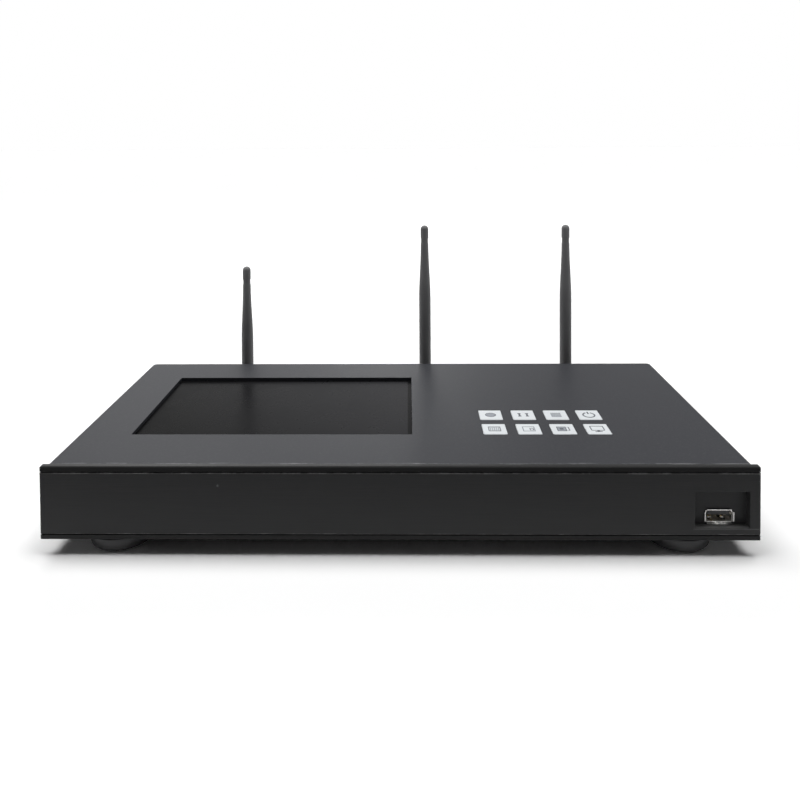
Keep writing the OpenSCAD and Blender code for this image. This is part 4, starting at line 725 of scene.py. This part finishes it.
class PLAYER_OT_finishes(Operator):
    """Make the finishes that every piece takes"""
    bl_idname = "player.finishes"
    bl_label = "Finishes"

    def execute(self, context):
        make_effects()
        for make in (make_cover_paint, make_front_finish, make_metals, make_usb_nickel, make_plastics,
                     make_screen_glass, make_board_finishes):
            make(context.scene.player_colours)
        return {"FINISHED"}


class PLAYER_OT_case(Operator):
    """Dress the case panels, and set the status light in the front panel"""
    bl_idname = "player.case"
    bl_label = "Case"

    def execute(self, context):
        dress("front_panel", "top_cover", "rear_panel", "case_screws", "panel_screws")
        refinish("bottom_chassis", "cover_paint")
        low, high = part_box("front_panel")
        from_middle, behind, drop = 90.0 * MM, 0.3 * MM, 9.6 * MM
        spot = Vector((-from_middle, low.y + behind, high.z - drop))
        r = context.scene.player_sizes.lens / 2 / MM
        dome = [(0.0, 0.25), (r, 0.25), (r, -0.32), (0.8 * r, -0.36), (0.45 * r, -0.42), (0.0, -0.44)]
        make_piece("status_light", "console", "key_plastic",
                   lambda mesh: turned(mesh, spot, dome, "xzy", 24), ["lamp_lens"])
        return {"FINISHED"}


class PLAYER_OT_feet(Operator):
    """Dress the feet, their pads and their screws, and put a soft ring round each foot"""
    bl_idname = "player.feet"
    bl_label = "Feet"

    def execute(self, context):
        dress("feet", "foot_pads", "foot_screws")
        low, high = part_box("feet")
        foot_radius = 15.0 * MM
        rim = context.scene.player_sizes.foot_ring / 2 / MM
        inner, top, bottom = 14.4, 7.6, 0.9
        profile = [(inner, top), (rim - 0.3, top), (rim, top - 0.4), (rim - 1.5, bottom + 0.5),
                   (rim - 2.1, bottom), (inner, bottom), (inner, top)]

        def build(mesh):
            for x in (low.x + foot_radius, high.x - foot_radius):
                for y in (low.y + foot_radius, high.y - foot_radius):
                    turned(mesh, (x, y, 0.0), profile, steps=64)
            bmesh.ops.remove_doubles(mesh, verts=mesh.verts, dist=0.001 * MM)
        make_piece("foot_rings", "console", "black_plastic", build)
        return {"FINISHED"}


class PLAYER_OT_screen(Operator):
    """Dress the screen glass, module, bracket, screws and ribbon"""
    bl_idname = "player.screen"
    bl_label = "Screen"

    def execute(self, context):
        dress("screen_glass", "screen_module", "screen_bracket", "screen_screws", "screen_ribbon")
        return {"FINISHED"}


class PLAYER_OT_keys(Operator):
    """Dress the eight keys, print a sign on each, and dress the key board"""
    bl_idname = "player.keys"
    bl_label = "Keys"

    def execute(self, context):
        sizes = context.scene.player_sizes
        dress("key_board", "key_switches")
        for name, draw in SIGNS.items():
            dress("key_" + name)
            _, high, middle = box_of("key_" + name)

            def build(mesh):
                draw(mesh, middle.x, middle.y, sizes.key_face, sizes.print_line, high.z - SEAT,
                     high.z + sizes.print_thickness)
            make_piece("sign_" + name, name + "_key", "key_plastic", build, ["print_line", "print_fill"])
        return {"FINISHED"}


class PLAYER_OT_usb(Operator):
    """Dress the USB socket, lay its four contacts on the tongue, and bend its four springs"""
    bl_idname = "player.usb"
    bl_label = "USB socket"

    def execute(self, context):
        dress("usb_tongue", "usb_board")
        refinish("usb_shell", "usb_nickel")
        thin = context.scene.player_sizes.contact_thickness
        tongue, _, middle = box_of("usb_tongue")
        shell, _, shell_middle = box_of("usb_shell")

        def build_contacts(mesh):
            wide, long = 1.1 * MM, 8.0 * MM
            for offset, start in ((-3.5, 0.6), (-1.0, 1.4), (1.0, 1.4), (3.5, 0.6)):
                outline = oblong(middle.x + offset * MM, tongue.y + start * MM + long / 2, wide, long)
                prism(mesh, outline, tongue.z - thin, tongue.z + SEAT)
        make_piece("usb_contacts", "console", "brass", build_contacts, bevel=0.05 * MM)

        def build_springs(mesh):
            wall, thick, bend = 2.72 * MM, 0.2 * MM, 0.75 * MM
            from_middle, half_width = 3.2 * MM, 0.9 * MM
            back, front = shell.y + 8.9 * MM, shell.y + 4.7 * MM
            line = [(back, 0.0), (front + 1.4 * MM, -bend), (front + 0.6 * MM, -bend), (front, -thick)]
            for side in (-1, 1):
                x = middle.x + side * from_middle
                for up in (-1, 1):
                    over, under = ([(y, shell_middle.z + up * (wall + h - t)) for y, h in line]
                                   for t in (0.0, thick))
                    prism(mesh, over + under[::-1], x - half_width, x + half_width, axes="yzx")
        make_piece("usb_springs", "console", "nickel", build_springs, bevel=0.04 * MM)
        return {"FINISHED"}


class PLAYER_OT_antennas(Operator):
    """Dress the antennas, their hinges, jacks and nuts"""
    bl_idname = "player.antennas"
    bl_label = "Antennas"

    def execute(self, context):
        dress("antenna_jacks", "antenna_nuts")
        for side in ("left", "middle", "right"):
            dress("knuckle_" + side, "hinge_pin_" + side, "whip_" + side)
        return {"FINISHED"}


class PLAYER_OT_main_board(Operator):
    """Dress the main board and what stands on it"""
    bl_idname = "player.main_board"
    bl_label = "Main board"

    def execute(self, context):
        dress("main_board", "heat_sink", "chips", "wireless_card", "standoffs", "board_screws")
        return {"FINISHED"}


class PLAYER_OT_rear_sockets(Operator):
    """Dress the rear sockets, and add their contacts, rings, pin and lamps"""
    bl_idname = "player.rear_sockets"
    bl_label = "Rear sockets"

    def execute(self, context):
        dress("power_socket", "network_socket", "video_sockets", "audio_sockets")
        thin = context.scene.player_sizes.contact_thickness
        low, high, middle = box_of("network_socket")

        def build_network(mesh):
            pitch, half_width, thick = 1.02 * MM, 0.22 * MM, 0.3 * MM
            outer, outer_height = high.y - 1.4 * MM, 28.0 * MM
            inner, inner_height = high.y - 10.4 * MM, 25.5 * MM
            wire = [(outer, outer_height + thick), (inner, inner_height + thick), (inner, inner_height),
                    (outer, outer_height)]
            for k in range(8):
                x = middle.x + (k - 3.5) * pitch
                prism(mesh, wire, x - half_width, x + half_width, axes="yzx")
        make_piece("network_contacts", "console", "brass", build_network)

        def build_lamps(mesh):
            from_middle, drop = 5.4 * MM, 1.2 * MM
            for side in (-1, 1):
                outline = oblong(middle.x + side * from_middle, high.z - drop, 2.8 * MM, 1.3 * MM, 0.2 * MM)
                prism(mesh, outline, high.y - 0.6 * MM, high.y + 0.15 * MM, axes="xzy")
        make_piece("network_lamps", "console", "key_plastic", build_lamps, ["lamp_lens"], bevel=0.08 * MM)

        low, high, _ = box_of("video_sockets")

        def build_video(mesh):
            level, tongue, socket_width = low.z + 3.0 * MM, 1.2 * MM, 15.2 * MM
            pitch, wide, long, inset = 0.5 * MM, 0.42 * MM, 6.4 * MM, 5.0 * MM
            for x in (low.x + socket_width / 2, high.x - socket_width / 2):
                for k in range(19):
                    foot = level + tongue if k % 2 else level - thin
                    prism(mesh, oblong(x + (k - 9) * pitch, high.y - inset, wide, long), foot, foot + thin)
        make_piece("video_contacts", "console", "brass", build_video)

        low, high, _ = box_of("audio_sockets")

        def build_audio(mesh):
            reach, level, outer, bore = 3.5 * MM, low.z + 3.7 * MM, 5.6 * MM, 3.75 * MM
            for x in (low.x + reach, high.x - reach):
                hollow(mesh, oval(x, level, outer, outer), oval(x, level, bore, bore),
                       high.y - 0.1 * MM, high.y + 0.2 * MM, axes="xzy")
        make_piece("audio_rings", "console", "nickel", build_audio, bevel=0.06 * MM)

        _, high, middle = box_of("power_socket")
        tip = Vector((middle.x, high.y - 1.0 * MM, middle.z))
        pin = [(0.0, 0.25), (0.6, 0.22), (1.05, -0.15), (1.08, -7.6), (0.0, -7.6)]
        make_piece("power_pin", "console", "nickel", lambda mesh: turned(mesh, tip, pin, "xzy", 28))
        return {"FINISHED"}


class PLAYER_OT_fan(Operator):
    """Dress the fan, and set a disc on its hub"""
    bl_idname = "player.fan"
    bl_label = "Fan"

    def execute(self, context):
        dress("fan_frame", "fan_rotor", "fan_screws")
        _, high, middle = box_of("fan_rotor")
        hub = Vector((middle.x, high.y, middle.z))
        disc = [(0.0, 0.06), (0.9, 0.06), (1.1, 0.12), (5.0, 0.12), (5.3, 0.08), (5.3, -0.1), (0.0, -0.1)]
        make_piece("fan_hub_disc", "fan_blades", "cast_aluminium",
                   lambda mesh: turned(mesh, hub, disc, "xzy", 48))
        return {"FINISHED"}


class PLAYER_OT_drive(Operator):
    """Dress the drive cage, the tray, its face and thumbscrew, and detail the hard drive"""
    bl_idname = "player.drive"
    bl_label = "Hard drive tray"

    def execute(self, context):
        dress("drive_cage", "tray_rails", "drive_socket", "cage_screws", "drive_tray", "tray_face",
              "hard_drive", "drive_screws", "thumbscrew")
        low, high, middle = box_of("hard_drive")
        front = low.y + 4.0 * MM
        lid = high.y - front

        def build_screws(mesh):
            from_middle = 29.5 * MM
            head = [(0.0, -0.15), (0.8, -0.15), (0.85, 0.2), (1.45, 0.16), (1.7, -0.05), (0.0, -0.2)]
            for side in (-1, 1):
                for part in (0.07, 0.5, 0.93):
                    turned(mesh, (middle.x + side * from_middle, front + part * lid, high.z), head, steps=24)
        make_piece("drive_lid_screws", "tray", "black_screws", build_screws)

        def build_bosses(mesh):
            spindle = [(0.0, 0.06), (4.0, 0.06), (4.6, 0.22), (13.0, 0.22), (13.8, -0.05), (0.0, -0.05)]
            pivot = [(0.0, -0.05), (0.6, -0.05), (0.8, 0.14), (2.2, 0.14), (2.5, -0.06), (0.0, -0.08)]
            turned(mesh, (middle.x, front + 0.64 * lid, high.z), spindle, steps=64)
            turned(mesh, (middle.x - 18.0 * MM, front + 0.3 * lid, high.z), pivot)
        make_piece("drive_lid_bosses", "tray", "cast_aluminium", build_bosses)

        def build_contacts(mesh):
            pitch, thick, level = 1.27 * MM, 0.12 * MM, low.z + 3.85 * MM
            last_data, gap = 6, 0.8
            for k in range(22):
                x = middle.x + (k - 10.5 + (gap if k > last_data else -gap)) * pitch
                prism(mesh, oblong(x, low.y + 1.9 * MM, 0.8 * MM, 3.2 * MM), level, level + thick)
        make_piece("drive_contacts", "tray", "brass", build_contacts)
        return {"FINISHED"}


# ---------------- the stage

# The two key lamps, in degrees, and the share of a direction across the room from which its walls are lit
LAMP_AZIMUTH, LAMP_ELEVATION, LAMP_SPREAD = 97.0, 72.5, 33.0
WALL_START, WALL_FULL = 0.80, 0.98
# Width, depth and place of the two soft boxes, and the point that they face
LEFT_BOX = ((0.6, 0.4), (-0.54, 1.16, 0.95))
BACK_BOX = ((0.3, 0.2), (-0.05, 1.40, 0.415))
BOX_AIM = (0.0, 0.0, 0.04)
# The camera that the photograph was solved for, with its turns in degrees and its lens in millimetres
CAMERA_PITCH, CAMERA_YAW, CAMERA_ROLL = 1.5, 0.812, -0.364
CAMERA_PLACE = (0.00592, -0.43575, 0.21561)
CAMERA_LENS, CAMERA_SENSOR, CAMERA_SHIFT = 31.839, 36.0, (0.0032, -0.3212)


def add_sun(name, strength, azimuth):
    """A wide sun lamp that shines from azimuth: 0 is the front, 90 the right."""
    lamp = bpy.data.lights.new(name, "SUN")
    lamp.energy, lamp.angle = strength, radians(LAMP_SPREAD)
    sun = add_object(name, lamp)
    a, e = radians(azimuth), radians(LAMP_ELEVATION)
    away = Vector((sin(a) * cos(e), -cos(a) * cos(e), sin(e)))
    sun.rotation_euler = away.to_track_quat("Z", "Y").to_euler()
    sun.location = away * 2


def add_box(name, power, size, location, dull):
    """A soft box aimed at the cover, kept from the pieces in the dull collection."""
    box = bpy.data.lights.new(name, "AREA")
    box.energy, box.shape, (box.size, box.size_y) = power, "RECTANGLE", size
    lamp = add_object(name, box)
    lamp.location = location
    lamp.rotation_euler = (lamp.location - Vector(BOX_AIM)).to_track_quat("Z", "Y").to_euler()
    lamp.light_linking.receiver_collection = dull


def seen_directly(tree):
    """1 where a ray comes from the camera or something glossy or clear, 0 where it lights the object."""
    rays = put(tree, "LightPath").outputs
    seen = calc(tree, "MAXIMUM", rays["Is Camera Ray"], rays["Is Glossy Ray"])
    return calc(tree, "MAXIMUM", seen, rays["Is Transmission Ray"])


class PLAYER_OT_stage(Operator):
    """Set up the floor, the room, the lamps and the camera"""
    bl_idname = "player.stage"
    bl_label = "Stage"

    def execute(self, context):
        settings, scene = context.scene.player_stage, context.scene
        scene.view_settings.view_transform = "Standard"

        mesh = bmesh.new()
        bmesh.ops.create_grid(mesh, x_segments=2, y_segments=2, size=6.0)
        data = bpy.data.meshes.new("floor")
        mesh.to_mesh(data)
        mesh.free()
        add_object("floor", data)
        tree, shader = start_finish("floor_paper", specular=0.0, roughness=1.0)
        grain = ramp(tree, noise(tree, 600.0), 0.3, 0.7)
        plain = mix(tree, grain, shaded(settings.floor, 0.98), settings.floor)
        camera_ray = put(tree, "LightPath").outputs["Is Camera Ray"]
        give(tree, shader, base_color=mix(tree, camera_ray, plain, grey(settings.floor_white)))
        data.materials.append(FINISHES["floor_paper"])

        world = bpy.data.worlds.new("white room")
        scene.world = world
        world.use_nodes = True
        tree = world.node_tree
        across = along(tree, put(tree, "TexCoord").outputs["Generated"])["X"]
        walls = ramp(tree, calc(tree, "ABSOLUTE", across), WALL_START, WALL_FULL, settings.room_light,
                     settings.side_light)
        strength = ramp(tree, seen_directly(tree), 0.0, 1.0, walls, 1.0)
        background = tree.nodes["Background"]
        background.inputs["Color"].default_value = (1.0, 1.0, 1.0, 1.0)
        tree.links.new(strength, background.inputs["Strength"])

        add_sun("key_lamp_left", settings.key_lamps, -LAMP_AZIMUTH)
        add_sun("key_lamp_right", settings.key_lamps, LAMP_AZIMUTH)
        dull = bpy.data.collections.new("kept from the boxes")
        dull.objects.link(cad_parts["screen_glass"])
        dull.collection_objects[0].light_linking.link_state = "EXCLUDE"
        add_box("left_box", settings.left_box, *LEFT_BOX, dull)
        add_box("back_box", settings.back_box, *BACK_BOX, dull)
        self.add_camera(scene)
        return {"FINISHED"}

    def add_camera(self, scene):
        """The camera that the photograph was solved for."""
        pitch, yaw, roll = (radians(turn) for turn in (CAMERA_PITCH, CAMERA_YAW, CAMERA_ROLL))
        level = Matrix(((1, 0, 0), (0, 0, -1), (0, 1, 0)))
        turn = level @ Matrix.Rotation(yaw, 3, "Z").transposed()
        turn = Matrix.Rotation(roll, 3, "Z") @ Matrix.Rotation(pitch, 3, "X") @ turn
        data = bpy.data.cameras.new("photo_camera")
        data.lens, data.sensor_width = CAMERA_LENS, CAMERA_SENSOR
        data.shift_x, data.shift_y = CAMERA_SHIFT
        data.clip_start, data.clip_end = 0.01, 50.0
        camera = add_object("photo_camera", data)
        right, down, forward = turn
        axes = Matrix((right, -down, -forward)).transposed()
        camera.matrix_world = Matrix.Translation(CAMERA_PLACE) @ axes.to_4x4()
        scene.camera = camera


class PLAYER_PT_panel(Panel):
    """The player's pieces, sizes and colours"""
    bl_idname = "PLAYER_PT_panel"
    bl_label = "Media player"
    bl_space_type = "VIEW_3D"
    bl_region_type = "UI"
    bl_category = "Player"

    def draw(self, context):
        layout = self.layout
        for operator in OPERATORS:
            layout.operator(operator.bl_idname)
        for group in SETTINGS:
            box = layout.box()
            box.label(text=group.replace("_", " ").capitalize())
            settings = getattr(context.scene, group)
            for name in settings.bl_rna.properties.keys():
                if name not in ("rna_type", "name"):
                    box.prop(settings, name)


OPERATORS = (PLAYER_OT_finishes, PLAYER_OT_case, PLAYER_OT_feet, PLAYER_OT_screen, PLAYER_OT_keys,
             PLAYER_OT_usb, PLAYER_OT_antennas, PLAYER_OT_main_board, PLAYER_OT_rear_sockets, PLAYER_OT_fan,
             PLAYER_OT_drive, PLAYER_OT_stage)
SETTINGS = {"player_sizes": PlayerSizes, "player_colours": PlayerColours, "player_stage": PlayerStage}
CLASSES = (*SETTINGS.values(), *OPERATORS, PLAYER_PT_panel)


def register():
    """Registers the classes, and gives the scene its three groups of settings."""
    for item in CLASSES:
        bpy.utils.register_class(item)
    for name, group in SETTINGS.items():
        setattr(bpy.types.Scene, name, PointerProperty(type=group))


def unregister():
    """Takes back what register gave."""
    for name in SETTINGS:
        delattr(bpy.types.Scene, name)
    for item in reversed(CLASSES):
        bpy.utils.unregister_class(item)


def main():
    """Builds the whole scene through its operators."""
    register()
    for operator in OPERATORS:
        getattr(bpy.ops.player, operator.bl_idname.split(".")[1])()


if __name__ == "__main__":
    main()
